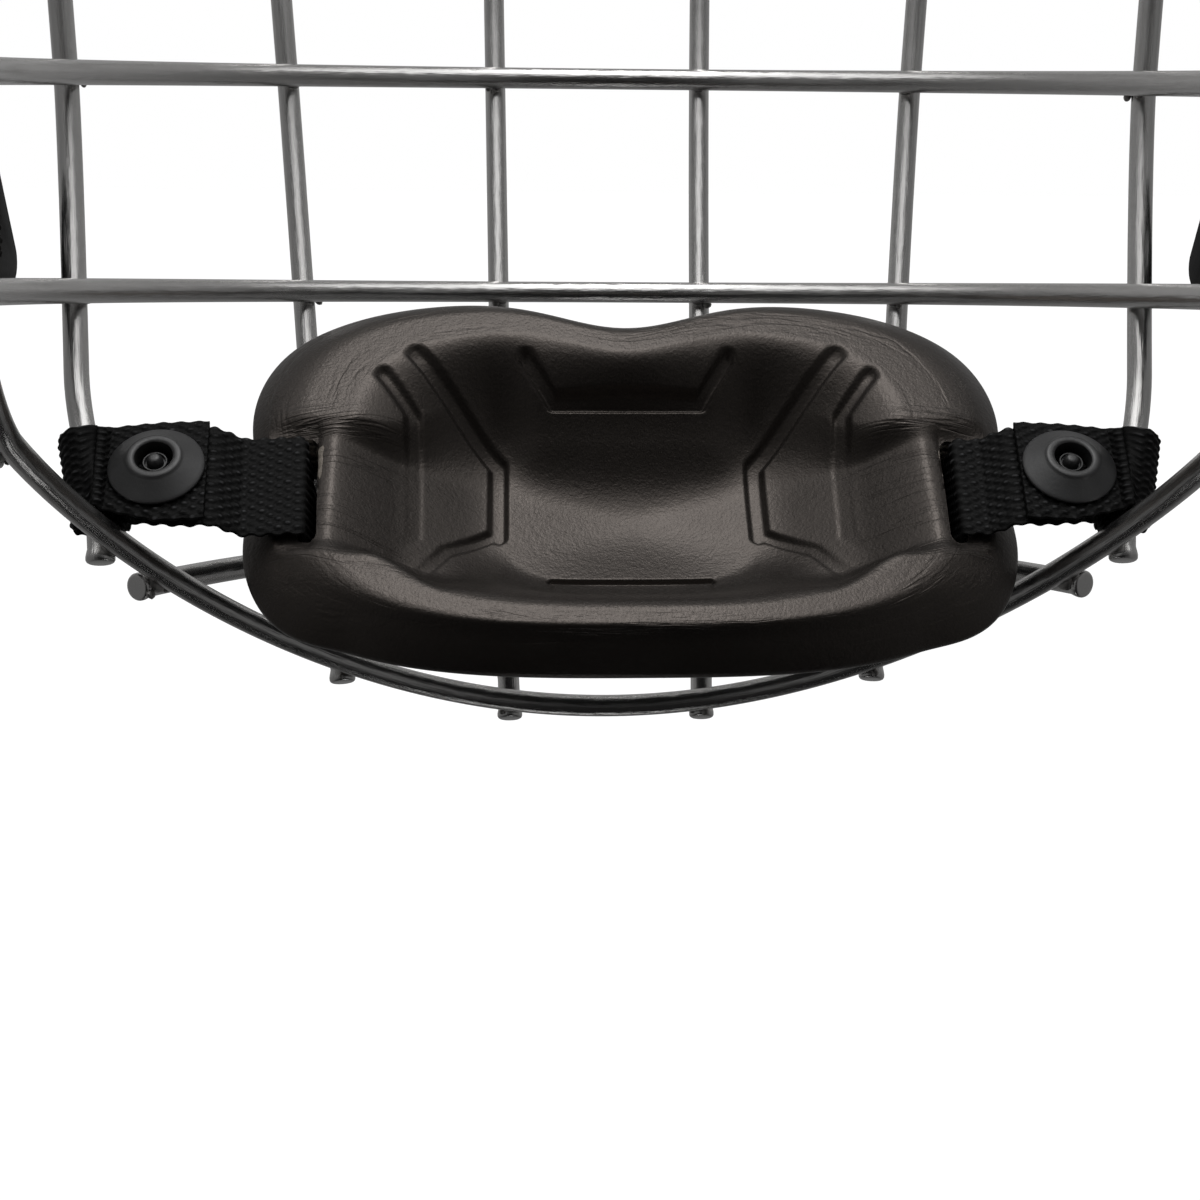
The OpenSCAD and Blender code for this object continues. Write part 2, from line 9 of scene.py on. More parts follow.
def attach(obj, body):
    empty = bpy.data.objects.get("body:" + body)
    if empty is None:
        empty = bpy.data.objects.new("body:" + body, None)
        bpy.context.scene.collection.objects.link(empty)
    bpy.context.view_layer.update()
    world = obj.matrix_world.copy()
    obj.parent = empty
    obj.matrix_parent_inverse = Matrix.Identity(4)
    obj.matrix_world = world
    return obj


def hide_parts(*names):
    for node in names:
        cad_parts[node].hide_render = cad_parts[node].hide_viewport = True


bl_info = {
    "name": "Face Cage Finish",
    "version": (1, 0, 0),
    "blender": (4, 5, 0),
    "location": "3D View > Sidebar > Face Cage",
    "description": "Dresses the welded face cage: drawn wire, weld beads, moulded chin cup, "
    "woven straps and snaps",
    "category": "Object",
}

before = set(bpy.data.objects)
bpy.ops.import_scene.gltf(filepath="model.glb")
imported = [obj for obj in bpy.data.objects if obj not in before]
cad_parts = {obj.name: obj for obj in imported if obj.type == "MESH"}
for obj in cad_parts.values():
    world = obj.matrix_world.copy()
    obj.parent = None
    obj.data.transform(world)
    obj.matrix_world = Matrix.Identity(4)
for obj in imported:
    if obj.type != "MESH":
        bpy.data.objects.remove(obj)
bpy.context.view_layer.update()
MM = 0.001

# Sizes of the grid, in millimetres, as the solids have them
WIRE_D = 3.8
R = WIRE_D / 2
HALF_WIDTH, CROWN_Z, CROWN_Y = 90.0, -55.0, 17.0
CHIN_Z, CHIN_BACK, FACE_DEPTH, JAW_DEPTH, JAW_RISE = -218.0, 66.0, 92.0, 36.0, 67.0
LIP_Z, STUB, CHIN_STUB = -110.0, 4.0, 2.6
LEVELS = {
    "across_brow": (-33.0, 0.0),
    "across_eye": (-72.0, 0.0),
    "across_lip": (LIP_Z, 0.0),
    "across_mouth": (-148.6, 0.112),
    "across_chin": (-191.0, 0.11),
}
TURNS = (12.6, 40.4, 72.3, 92.0)
GATHERS = (0.88, 0.74, 0.79, 0.78)
BENDS = (12.0, 12.0, 24.0, 12.0)
BROW_R, BROW_TAIL, BROW_BLEND = 36.0, 22.0, 70.0
TEMPLE_R, JAW_R, JAW_TURN = 45.0, 21.0, 82.0
# Powers by which the face falls back to the chin, deepens to the jaw and gathers its uprights
CHIN_POWER, JAW_POWER, GATHER_POWER = 1.6, 1.3, 1.3

# Sizes of the chin cup and its straps. The powers shape the outline's upper and lower corners,
# and it has a dip above and a waist at either side.
UPPER_POWER, LOWER_POWER, DIP_U, WAIST, WAIST_V = 0.57, 0.65, 16.0, 2.0, 9.0
CUP_W, CUP_H, BOWL, PAD_T, DIP = 61.0, 38.5, 17.0, 5.0, 6.5
FLOOR_K, CREST_IN, CREST_OUT, EDGE_W, SIDE_W = 0.34, 0.74, 0.84, -4.5, -10.0
SHELL_T, CUP_TILT, SLOT_U, CUP_SHIFT = 1.6, radians(52), 50.5, 2.7
CUP_LIFT, CUP_DROP, STRAP_FOOT = 6.0, 1.5, 9.0
WEB_W, WEB_T, LOOP_SLACK, RISE = 19.0, 1.4, 1.2, radians(3)
STRAP_LIFT, SNAP_U, FLAP_U, CAP_D, STUD_D = 1.6, 9.9, 17.2, 14.4, 3.7
SIDE_DROP, SIDE_WEB_L, SIDE_SLOPE = 13.2, 37.0, radians(7)


def ease(s):
    s = np.clip(s, 0.0, 1.0)
    return s * s * (3 - 2 * s)


def mix(a, b, s):
    return a + (b - a) * s


def unit(v):
    v = np.asarray(v, float)
    return v / np.linalg.norm(v, axis=-1, keepdims=True)


def shares(count):
    """Shares of a way in even steps, from the first step up to 1."""
    return [i / count for i in range(1, count + 1)]


# ---- The skin on which the wires lie, read by a turn round the face and a height ----


def front_y(z):
    if z > CROWN_Z:
        return CROWN_Y * (1 - ((z - CROWN_Z) / CROWN_Z) ** 2)
    return CROWN_Y - CHIN_BACK * ((CROWN_Z - z) / (CROWN_Z - CHIN_Z)) ** CHIN_POWER


def skin(t, z):
    turn = max(-90.0, min(90.0, t))
    x = HALF_WIDTH * sin(radians(turn))
    past = radians(max(0.0, abs(t) - 90))
    bend = BROW_R + R
    over = max(0.0, abs(x) - (HALF_WIDTH - bend))
    brow = bend - sqrt(max(0.0, bend**2 - over**2)) + past * sqrt(bend * HALF_WIDTH)
    depth = FACE_DEPTH + JAW_DEPTH * (max(0.0, LIP_Z - z) / (LIP_Z - CHIN_Z)) ** JAW_POWER
    face = depth * (1 - cos(radians(t)) if abs(t) < 90 else 1 + past)
    return np.array([x, front_y(z) - mix(brow - R, face, float(ease(-z / BROW_BLEND))), z])


def skin_out(t, z):
    up, along = skin(t, z + 0.5) - skin(t, z - 0.5), skin(t + 0.5, z) - skin(t - 0.5, z)
    return unit(np.cross(up, along))


def off_skin(t, z, off):
    return skin(t, z) + off * skin_out(t, z)


def jaw_z(t):
    c = 1 - cos(radians(t))
    return CHIN_Z + JAW_RISE * c * (1.25 - 0.25 * c)


def jaw_point(t):
    return off_skin(t, jaw_z(t), -3 * R)


JAW_END = jaw_point(JAW_TURN)
JAW_DIR = unit(JAW_END - jaw_point(JAW_TURN - 2))
JAW_SLOPE = atan2(JAW_DIR[2], -JAW_DIR[1])
SIDE_Y = JAW_END[1] - JAW_R * (1 - sin(JAW_SLOPE))
JAW_MID_Z = JAW_END[2] + JAW_R * cos(JAW_SLOPE)
RIM_X, BAR_X = HALF_WIDTH - 3 * R, HALF_WIDTH - R


def rim_side():
    """The rim from the end of the jaw line up behind the temple to the brow bar's height."""
    points = []
    for s in shares(16):
        a = mix(1.5 * pi - JAW_SLOPE, pi, s)
        y, z = SIDE_Y + JAW_R * (1 + cos(a)), JAW_MID_Z + JAW_R * sin(a)
        points.append([mix(JAW_END[0], RIM_X, s), y, z])
    points += [[RIM_X, SIDE_Y, mix(JAW_MID_Z, -TEMPLE_R, s)] for s in shares(12)]
    for s in shares(30):
        a = pi / 2 * s
        y, z = SIDE_Y + TEMPLE_R * (1 - cos(a)), -TEMPLE_R * (1 - sin(a))
        points.append([mix(RIM_X, BAR_X, float(ease(s))), y, z])
    return [np.array(p) for p in (*points, [BAR_X, -BROW_R - BROW_TAIL, 0])]


def both_sides(middle, half):
    """A path from the far end of its mirrored half through its middle to its other end."""
    return [p * np.array([-1, 1, 1]) for p in reversed(half)] + middle + half


def rim_path():
    jaw = [jaw_point(JAW_TURN * s) for s in shares(70)]
    return both_sides([jaw_point(0)], jaw + rim_side())


def brow_path():
    straight = HALF_WIDTH - BROW_R - R
    side = [np.array([straight, 0.0, 0.0])]
    for a in (pi / 2 * s for s in shares(24)):
        side.append(side[0] + BROW_R * np.array([sin(a), cos(a) - 1, 0.0]))
    tail = np.array([BAR_X, -BROW_R - BROW_TAIL, 0.0])
    side += [mix(side[-1], tail, 0.5), tail]
    return both_sides([np.array([s * straight, 0, 0]) for s in (-0.5, 0, 0.5)], side)


def level_z(t, z, rise):
    """Height of a wire across at a turn: it rises as it goes back."""
    near = z + rise * (front_y(z) - skin(t, z)[1])
    return z + rise * (front_y(z) - skin(t, near)[1])


def across_point(t, z, rise):
    return off_skin(t, level_z(t, z, rise), -R)


RIM_LINE = sorted((p[2], p[1]) for p in rim_side())


def rim_y(z):
    return float(np.interp(z, [p[0] for p in RIM_LINE], [p[1] for p in RIM_LINE]))


# Turns between which the wires across meet the rim, and rounds of halving
MEET_FROM, MEET_TO, HALVINGS = 20.0, 125.0, 18


def rim_turn(z, rise):
    """The turn at which a wire across meets the rim, found by halving."""
    low, high = MEET_FROM, MEET_TO
    for _ in range(HALVINGS):
        t = (low + high) / 2
        p = across_point(t, z, rise)
        below = p[2] < jaw_z(t) if t < JAW_TURN and p[2] < JAW_MID_Z else p[1] < rim_y(p[2])
        low, high = (low, t) if below else (t, high)
    return (low + high) / 2


def across_path(z, rise, stub):
    meet = rim_turn(z, rise)
    last = across_point(meet, z, rise)
    way = unit(last - across_point(meet - 2, z, rise))
    half = [across_point(meet * s, z, rise) for s in shares(60)] + [last + stub * way]
    return both_sides([across_point(0, z, rise)], half)


def upright_turn(turn, z):
    """Turn of an upright at a height: the uprights gather below."""
    gather = float(np.interp(abs(turn), TURNS, GATHERS))
    return turn * mix(1, gather, (max(0.0, CROWN_Z - z) / (CROWN_Z - CHIN_Z)) ** GATHER_POWER)


def foot_z(turn):
    """Height at which an upright meets the jaw line."""
    z = -190.0
    for _ in range(8):
        z = jaw_z(upright_turn(turn, z))
    return z


def upright_point(turn, z, bend):
    drop = float(ease((foot_z(turn) + bend + 1 - z) / bend))
    return off_skin(upright_turn(turn, z), z, R - 2 * R * drop)


def upright_path(turn, bend):
    foot = foot_z(turn) - 0.5 * STUB
    return [upright_point(turn, mix(STUB, foot, s), bend) for s in (0, *shares(110))]


def contacts():
    """Every place where two wires touch: a point and the way between their middles."""
    found = []
    for side in (-1, 1):
        for turn in TURNS:
            for z0, rise in LEVELS.values():
                z = z0
                for _ in range(4):
                    z = level_z(upright_turn(turn, z), z0, rise)
                if z > foot_z(turn) + WIRE_D:
                    found.append((side * upright_turn(turn, z), z, 0.0))
            found.append((side * upright_turn(turn, foot_z(turn)), foot_z(turn), -2 * R))
            found.append((side * turn, 0.0, 0.0))
        for z0, rise in LEVELS.values():
            t = rim_turn(z0, rise)
            found.append((side * t, level_z(t, z0, rise), -2 * R))
    return [(off_skin(t, z, off), skin_out(t, z)) for t, z, off in found]


# ---- Node trees: one way to add a node, and sockets that take part in sums ----


def arithmetic(operation):
    return lambda value, other: value.sum(operation, other)


class Field:
    """A value in a node tree. Sums on it add Math nodes to its tree."""

    __add__ = __radd__ = arithmetic("ADD")
    __sub__, __mul__ = arithmetic("SUBTRACT"), arithmetic("MULTIPLY")
    __truediv__ = arithmetic("DIVIDE")

    def __init__(self, tree, socket):
        self.tree, self.socket = tree, socket

    def __rsub__(self, other):
        return self * -1.0 + other

    def sum(self, operation, *others):
        given = dict(enumerate((self, *others)))
        return self.tree.number("ShaderNodeMath", 0, given, operation=operation)

    def between(self, low, high):
        """0 below low, 1 above high, smooth from one to the other."""
        given = {"Value": self, "From Min": low, "From Max": high}
        return self.tree.number(
            "ShaderNodeMapRange", "Result", given, interpolation_type="SMOOTHSTEP")


class Tree:
    """A shader or geometry node tree."""

    def __init__(self, data):
        self.nodes, self.links = data.nodes, data.links

    def add(self, kind, sockets=None, **options):
        """A new node, its options given by name and its sockets by name or number."""
        node = self.nodes.new(kind)
        for name, value in options.items():
            setattr(node, name, value)
        for name, value in (sockets or {}).items():
            self.put(node.inputs[name], value)
        return node

    def put(self, socket, value):
        """A field, a socket or a node's first output is linked, and a plain value is set."""
        if isinstance(value, bpy.types.Node):
            value = value.outputs[0]
        if isinstance(value, Field):
            value = value.socket
        if isinstance(value, bpy.types.NodeSocket):
            self.links.new(value, socket)
        else:
            socket.default_value = value

    def number(self, kind, output, sockets=None, **options):
        return Field(self, self.add(kind, sockets, **options).outputs[output])

    def attribute(self, name, output="Fac"):
        return self.number("ShaderNodeAttribute", output, attribute_name=name)

    def place(self):
        return self.add("ShaderNodeTexCoord").outputs["Object"]

    def vector(self, operation, *values, **others):
        given = {**dict(enumerate(values)), **others}
        return self.add("ShaderNodeVectorMath", given, operation=operation)

    def noise(self, place, scale, detail=2.0, rough=0.5, twist=0.0):
        names = ("Vector", "Scale", "Detail", "Roughness", "Distortion")
        given = dict(zip(names, (place, scale, detail, rough, twist)))
        return self.number("ShaderNodeTexNoise", "Fac", given)

    def colour(self, factor, dark, light):
        """A colour from dark to light by a number. Each end is a colour or a socket."""
        ends = [c if isinstance(c, bpy.types.NodeSocket) else (*c, 1) for c in (dark, light)]
        given = {"Factor": factor, "A": ends[0], "B": ends[1]}
        return self.add("ShaderNodeMix", given, data_type="RGBA").outputs[2]


def fresh_tree(owner):
    """The node tree of a new material or world, emptied."""
    owner.use_nodes = True
    owner.node_tree.nodes.clear()
    return Tree(owner.node_tree)


def finish_material(name, colour, roughness, look, **fixed):
    """A Principled material. look(tree, shader, colour) links what changes over the surface."""
    made = bpy.data.materials.new(name)
    made.diffuse_color = (*colour, 1)
    tree = fresh_tree(made)
    shader = tree.add("ShaderNodeBsdfPrincipled")
    shader.inputs["Base Color"].default_value = (*colour, 1)
    shader.inputs["Roughness"].default_value = roughness
    for socket, value in fixed.items():
        shader.inputs[socket.replace("_", " ")].default_value = value
    look(tree, shader, np.array(colour))
    tree.add("ShaderNodeOutputMaterial", {"Surface": shader})
    return made


def tint(tree, shader, factor, dark, light):
    """Base colour from dark to light by a number."""
    tree.put(shader.inputs["Base Color"], tree.colour(factor, dark, light))


def relief(tree, shader, height, distance, strength):
    """A bump, with its distance in metres."""
    given = {"Height": height, "Distance": distance, "Strength": strength}
    tree.put(shader.inputs["Normal"], tree.add("ShaderNodeBump", given))


def drawn_steel(tree, shader, colour):
    """The die has left fine lines along the wire, which spread its reflections crosswise."""
    along = tree.add("ShaderNodeCombineXYZ", {"Z": tree.attribute("run") * 7.0})
    place = tree.vector("MULTIPLY_ADD", tree.attribute("ring", "Vector"), (1.0, 1.0, 0.0), along)
    lines = tree.noise(place, 6.0, 3.0, 0.6)
    hair = tree.noise(place, 34.0, 2.0, 0.7)
    cloud = tree.noise(tree.place(), 90.0, 3.0, 0.55)
    tint(tree, shader, lines * 0.6 + cloud * 0.4, colour * 0.87, colour * 1.13)
    tree.put(shader.inputs["Roughness"], lines * 0.06 + cloud * 0.10 + 0.14)
    out = tree.add("ShaderNodeNewGeometry").outputs["Normal"]
    aside = tree.vector("CROSS_PRODUCT", out, tree.attribute("way", "Vector"))
    sway = (hair - 0.5) * 1.15 + (lines - 0.5) * 0.10
    tilted = tree.vector("ADD", out, tree.vector("SCALE", aside, Scale=sway))
    tree.put(shader.inputs["Normal"], tree.vector("NORMALIZE", tilted))


def weld_steel(tree, shader, colour):
    lumps = tree.noise(tree.place(), 700.0, 3.0, 0.6)
    tint(tree, shader, lumps, colour * 0.57, colour * 1.35)
    tree.put(shader.inputs["Roughness"], lumps * 0.25 + 0.30)
    relief(tree, shader, lumps, 0.00025, 0.7)


# Foam without its skin
TORN_FOAM = np.array([0.21, 0.187, 0.16])


def grained_foam(tree, shader, colour):
    """Pressed foam skin: a fine grain, wrinkles that follow their own lay, and bare torn foam in
    places.
    """
    place = tree.place()
    grain = tree.noise(place, 2300.0, 2.0, 0.6)
    pores = tree.noise(place, 900.0, 3.0, 0.6)
    cloud = tree.noise(place, 60.0, 4.0, 0.6, 0.4)
    folds = 0.0
    for name, width, depth in (("slot", 0.07, 0.11), ("roll", 0.09, 0.07)):
        lay = tree.attribute(name + "_lay", "Vector")
        wave = tree.noise(lay, 1.0, 3.0, 0.55, 0.35)
        line = 1.0 - (wave - 0.5).sum("ABSOLUTE").between(0.0, width)
        patch = tree.noise(lay, 0.45, 1.0).between(0.42, 0.60)
        folds = line * tree.attribute(name + "_fold") * patch * depth + folds
    shred = tree.noise(place, 650.0, 3.0, 0.7)
    bare = (tree.attribute("torn") + shred * 0.9 - 0.95).between(0.0, 0.12)
    skin_tone = tree.colour(cloud, colour * 0.65, colour * 1.39)
    tint(tree, shader, bare, skin_tone, tree.colour(shred, TORN_FOAM * 0.2, TORN_FOAM * 1.8))
    tree.put(shader.inputs["Roughness"], cloud * 0.12 + grain * 0.12 + 0.25)
    relief(tree, shader, grain * 0.075 + pores * 0.080 + shred * bare * 0.3 - folds, 0.001, 0.8)


def cut_foam(tree, shader, colour):
    """Bare foam where the slot was punched, torn in places and dark in others."""
    torn = tree.noise(tree.place(), 420.0, 4.0, 0.7)
    tint(tree, shader, torn.between(0.40, 0.62), colour * 0.05, colour * 2.0)
    relief(tree, shader, torn, 0.0006, 1.0)


def woven_nylon(tree, shader, colour):
    """Filaments inside each yarn, and painted light in the base colour: painted glints, grey,
    where the yarns stand highest and painted shade, near black, between them.
    """
    place = tree.add("ShaderNodeUVMap", uv_map="web")
    threads = tree.noise(tree.vector("MULTIPLY", place, (900.0, 7500.0, 1.0)), 1.0, 2.0, 0.6)
    fuzz = tree.noise(tree.place(), 900.0, 3.0, 0.7)
    # Painted glints and shade: the base colour runs from near black in the gaps to grey on the
    # highest yarns.
    painted_glint = (tree.attribute("lift") + threads * 0.5 + fuzz * 0.4 - 0.90).between(0.10, 0.85)
    tint(tree, shader, painted_glint, colour * 0.05, colour * 17.0)
    relief(tree, shader, threads * 0.6 + fuzz * 0.4, 0.00012, 0.8)


def moulded(tree, shader, colour):
    """The fine texture of a mould, duller in some places than in others."""
    texture = tree.noise(tree.place(), 2200.0)
    cloud = tree.noise(tree.place(), 130.0)
    tree.put(shader.inputs["Roughness"], texture * 0.10 + cloud * 0.12 + 0.36)
    relief(tree, shader, texture, 0.00004, 0.5)


# ---- Mesh helpers ----


def mesh_object(name, points, faces, material=None, smooth=True):
    """An object from points in metres and faces, in the scene."""
    mesh = bpy.data.meshes.new(name)
    mesh.from_pydata([tuple(float(c) for c in p) for p in points], [], [tuple(f) for f in faces])
    mesh.update()
    made = bpy.data.objects.new(name, mesh)
    bpy.context.scene.collection.objects.link(made)
    if material:
        mesh.materials.append(material)
    if smooth:
        mesh.shade_smooth()
    return made


def settle(made):
    """The evaluated mesh takes the place of the object's mesh and modifiers."""
    graph = bpy.context.evaluated_depsgraph_get()
    graph.update()
    mesh = bpy.data.meshes.new_from_object(made.evaluated_get(graph))
    made.modifiers.clear()
    made.data = mesh
    return made


def shade(made, angle):
    """Smooth shading, with sharp edges where faces meet at more than an angle in degrees."""
    made.data.shade_smooth()
    made.data.set_sharp_from_angle(angle=radians(angle))
    return made


def refined(full):
    """A fineness: the full one, as given."""
    return full


def dress(made, body, node):
    """The piece rides its body and stands for its CAD node, which is hidden."""
    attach(made, body)
    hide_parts(node)


def store(made, name, values):
    """Keep a number or a vector on every point of a mesh."""
    values = np.asarray(values, np.float32)
    kind, key = ("FLOAT", "value") if values.ndim == 1 else ("FLOAT_VECTOR", "vector")
    made.data.attributes.new(name, kind, "POINT").data.foreach_set(key, values.ravel())


def rework(made, change):
    """A function changes the object's mesh as a bmesh."""
    work = bmesh.new()
    work.from_mesh(made.data)
    change(work)
    work.to_mesh(made.data)
    work.free()
    return made


def outward(work):
    """Merge doubles and turn the faces outwards."""
    bmesh.ops.remove_doubles(work, verts=work.verts, dist=1e-7)
    bmesh.ops.recalc_face_normals(work, faces=work.faces)


def grid_faces(rows, columns):
    """Quads of a grid of rows of points, each row closed on itself."""
    quads = []
    for i in range(rows - 1):
        for j in range(columns):
            a, b = i * columns + j, i * columns + (j + 1) % columns
            quads.append((a, b, b + columns, a + columns))
    return quads


def lathe(profile, turns):
    """Points and faces of a closed profile, (radius, height), turned round the w axis."""
    angles = [2 * pi * j / turns for j in range(turns)]
    points = [(r * cos(a), r * sin(a), h) for r, h in profile for a in angles]
    quads = grid_faces(len(profile) + 1, turns)
    return points, [tuple(i % len(points) for i in quad) for quad in quads]


# The lattice's own random heights
TABLE = np.random.default_rng(17).random((256, 256))


def lattice_noise(x, y):
    """Smooth noise from 0 to 1 over a plane, on a lattice of pitch 1 and one of half that."""
    total = 0.0
    for octave, share in ((0, 1.0), (1, 0.5)):
        u, v = x * 2**octave + 37.3 * octave, y * 2**octave + 11.7 * octave
        i, j = np.floor(u).astype(int), np.floor(v).astype(int)
        a, b = ease(u - i), ease(v - j)
        i0, j0, i1, j1 = i % 256, j % 256, (i + 1) % 256, (j + 1) % 256
        low = TABLE[i0, j0] * (1 - a) + TABLE[i1, j0] * a
        high = TABLE[i0, j1] * (1 - a) + TABLE[i1, j1] * a
        total = total + share * (low * (1 - b) + high * b)
    return total / 1.5


def run_along(path):
    """The length along a path, by its first two columns, up to each of its points."""
    return np.concatenate([[0], np.cumsum(np.linalg.norm(np.diff(path[:, :2], axis=0), axis=1))])


def columns_at(want, length, path):
    """A path's columns at the wanted lengths along it."""
    return np.column_stack([np.interp(want, length, column) for column in path.T])


# ---- The chin cup ----


def strap_foot(above):
    """A point of the third upright, near the place where a cup strap is looped round it."""
    return upright_point(TURNS[2], foot_z(TURNS[2]) + STRAP_FOOT + above, BENDS[2])


STRAP_AT, STRAP_DIR = strap_foot(0), unit(strap_foot(8) - strap_foot(-8))
CUP_U = np.array([1.0, 0, 0])
CUP_V = np.array([0, sin(CUP_TILT), cos(CUP_TILT)])
CUP_N = np.array([0, -cos(CUP_TILT), sin(CUP_TILT)])
CUP_O = np.array([CUP_SHIFT, STRAP_AT[1], STRAP_AT[2]]) + CUP_LIFT * CUP_V - CUP_DROP * CUP_N


def slot_p(side):
    """Distance of the cup's slot from the strap's wire, along the strap."""
    return (STRAP_AT[0] - side * CUP_SHIFT - SLOT_U) / cos(RISE)


def slot_v(side):
    """Height of the slot's middle in the cup's own axes."""
    return slot_p(side) * sin(RISE) - CUP_LIFT


def cup_place(u, v, w):
    """Points of the cup's own axes, in metres in the frame."""
    u, v, w = (x[..., None] for x in np.broadcast_arrays(u, v, w))
    return (CUP_O + u * CUP_U + v * CUP_V + w * CUP_N) * MM


# Points of the outline before they are spaced evenly, and rounds of smoothing after that
OUTLINE_SAMPLES, OUTLINE_ROUNDS = 24000, 6


def cup_outline(count):
    """The cup's outline with its points spaced evenly, counter-clockwise from the right."""
    a = np.linspace(0, 2 * np.pi, OUTLINE_SAMPLES, endpoint=False)
    c, s = np.cos(a), np.sin(a)
    e = np.where(s > 0, UPPER_POWER, LOWER_POWER)
    u = CUP_W * np.sign(c) * np.abs(c) ** e
    v = CUP_H * np.sign(s) * np.abs(s) ** e
    dip = np.where(s > 0, DIP * np.exp(-((u / DIP_U) ** 2)), 0)
    line = np.column_stack([u - WAIST * np.sign(c) * np.exp(-((v / WAIST_V) ** 2)), v - dip])
    closed = np.vstack([line, line[:1]])
    length = run_along(closed)
    even = columns_at(np.linspace(0, length[-1], count, endpoint=False), length, closed)
    for _ in range(OUTLINE_ROUNDS):
        even = 0.5 * even + 0.25 * (np.roll(even, 1, 0) + np.roll(even, -1, 0))
    return even


def to_line(u, v, line):
    """Distance from points to a line of straight pieces."""
    best = np.full(np.shape(u), 1e9)
    for (x0, y0), (x1, y1) in zip(line, line[1:]):
        dx, dy = x1 - x0, y1 - y0
        s = np.clip(((u - x0) * dx + (v - y0) * dy) / (dx * dx + dy * dy), 0, 1)
        best = np.minimum(best, np.hypot(u - x0 - s * dx, v - y0 - s * dy))
    return best


def groove(u, v, line, half, soft):
    return 1 - ease((to_line(u, v, line) - half + soft / 2) / soft)


# Grooves of the bowl, each on its right half: lines, half widths and softness of their edges
OUTER_GROOVE = [(39.6, 18.6), (34.8, 13.0), (34.3, -7.6)]
OUTER_STEP = [(34.6, -8.4), (39.2, -14.8)]
INNER_GROOVE = [(34.6, 23.2), (21.2, 10.2), (21.2, -3.6)]
INNER_STEP = [(21.6, -3.2), (29.2, -8.9), (34.6, -17.8)]
SIDE_GROOVES = (
    (OUTER_GROOVE, 1.15, 1.0), (INNER_GROOVE, 1.35, 1.0),
    (OUTER_STEP, 0.9, 0.9), (INNER_STEP, 1.0, 0.9))
TOP_GROOVE = [(16.6, 23.6), (12.2, 17.9), (0.0, 17.9)]
LOW_GROOVE = [(0.0, -12.9), (12.6, -12.9)]
LEDGE_V, LEDGE_SHARE, LEDGE_FOOT = 17.0, 0.539, 17.9
LOW_EDGE, LOW_CREST = -7.2, 0.79
SLOT_WEAR = 0.2
# The bar that is left inside a slot, and the seat of the strap outside it
BAR_U, BAR_W, SEAT_U, SEAT_W = 46.8, -1.3, 49.1, -2.25


def plain_share(u, v):
    """Share of the way out to the outline, as if the outline had no dip at the top."""
    e = np.where(v > 0, UPPER_POWER, LOWER_POWER)
    au, av = np.abs(u) / CUP_W + 1e-9, np.abs(v) / CUP_H + 1e-9
    return (au ** (2 / e) + av ** (2 / e)) ** (e / 2)


def bowl_depth(share):
    """Depth of the dished floor and of the wall that rises from it to the roll."""
    sag = 1 - 0.17 * ease(share / FLOOR_K / 1.5)
    return BOWL * (1 - ease((share - FLOOR_K) / (CREST_IN - FLOOR_K))) * sag


def ledge_depth(u, v):
    """Depth under the dip: a level ledge, a straight wall above it and a long slope below."""
    au = np.abs(u)
    out = np.minimum(0.999, au / CREST_IN / CUP_W)
    dip = DIP * np.exp(-((au / CREST_IN / DIP_U) ** 2))
    crest = CREST_IN * (CUP_H * (1 - out ** (2 / UPPER_POWER)) ** (UPPER_POWER / 2) - dip)
    up = np.clip((v - LEDGE_V) / (np.maximum(LEDGE_V + 1, crest) - LEDGE_V), 0, 1)
    under = np.clip(LEDGE_V - v, 0, LEDGE_FOOT)
    return bowl_depth(mix(LEDGE_SHARE, CREST_IN, up)) + under * (1 - under / LEDGE_FOOT / 2)


def roll_at(v):
    """Share of the way out to the roll's crest, and height of its edge: lower towards the chin."""
    low = ease((10 - v) / 34)
    return mix(CREST_OUT, LOW_CREST, low), mix(EDGE_W, LOW_EDGE, low)


def roll_height(u, v, k):
    """The dished floor, the wall round it, the padded roll and its outer turn."""
    middle = (1 - ease((np.abs(u) - 13) / 11)) * ease((v - 1) / 12)
    plain = bowl_depth(mix(plain_share(u, v), k, ease((k - 0.36) / 0.34)))
    deep = np.where(k < CREST_IN, mix(plain, ledge_depth(u, v), middle), 0)
    crest, edge = roll_at(v)
    return edge * (np.maximum(0, k - crest) / (1 - crest)) ** 2.1 - deep


def side_of(u, on_right, on_left):
    return np.where(u > 0, on_right, on_left)


def pad_face(u, v, k):
    """Height of the pad's face above the cup's own plane."""
    from_slot = np.abs(v - side_of(u, slot_v(1), slot_v(-1)))
    au = np.abs(u)
    w = roll_height(u, v, k)
    in_bowl = 1 - ease((k - 0.70) / 0.07)
    cut = np.max([groove(au, v, *kind) for kind in SIDE_GROOVES], axis=0)
    lip = ease((12.9 - au) / 0.8) * ease((-13.4 - v) / 0.7) * ease((v + 19) / 4)
    line = groove(au, v, LOW_GROOVE, 0.55, 0.8)
    w = w + (0.4 * lip - 1.1 * cut - 0.9 * line) * in_bowl
    w = w - 1.4 * groove(au, v, TOP_GROOVE, 1.0, 1.0) * (1 - ease((k - 0.74) / 0.06))
    # The strap presses the roll down into a saddle, and a round bar is left inside its slot.
    spread = 4.6 + 7 * (1 - ease((au - 28) / 12))
    saddle = ease((WEB_W / 2 + spread - from_slot) / spread) * ease((au - 20) / 18)
    fall = np.maximum(0, BAR_U - au)
    bar = BAR_W - 0.80 * fall**2 / (fall + 2.2) - 0.12 * np.maximum(0, au - BAR_U) ** 2
    return mix(w, np.minimum(w, np.where(au > SEAT_U, SEAT_W, bar)), saddle)


def side_height(share):
    """Height of a ring of the pad's side wall, from the face's edge down to the back."""

    def height(u, v, k):
        edge = roll_at(v)[1]
        return edge + (SIDE_W + 0.4 - edge) * share

    return height


# What fold_marks gives, and the length in millimetres that counts as once round the pad
PAD_RUN = 320.0
FOLD_MARKS = ("slot_fold", "roll_fold", "torn", "slot_lay", "roll_lay")
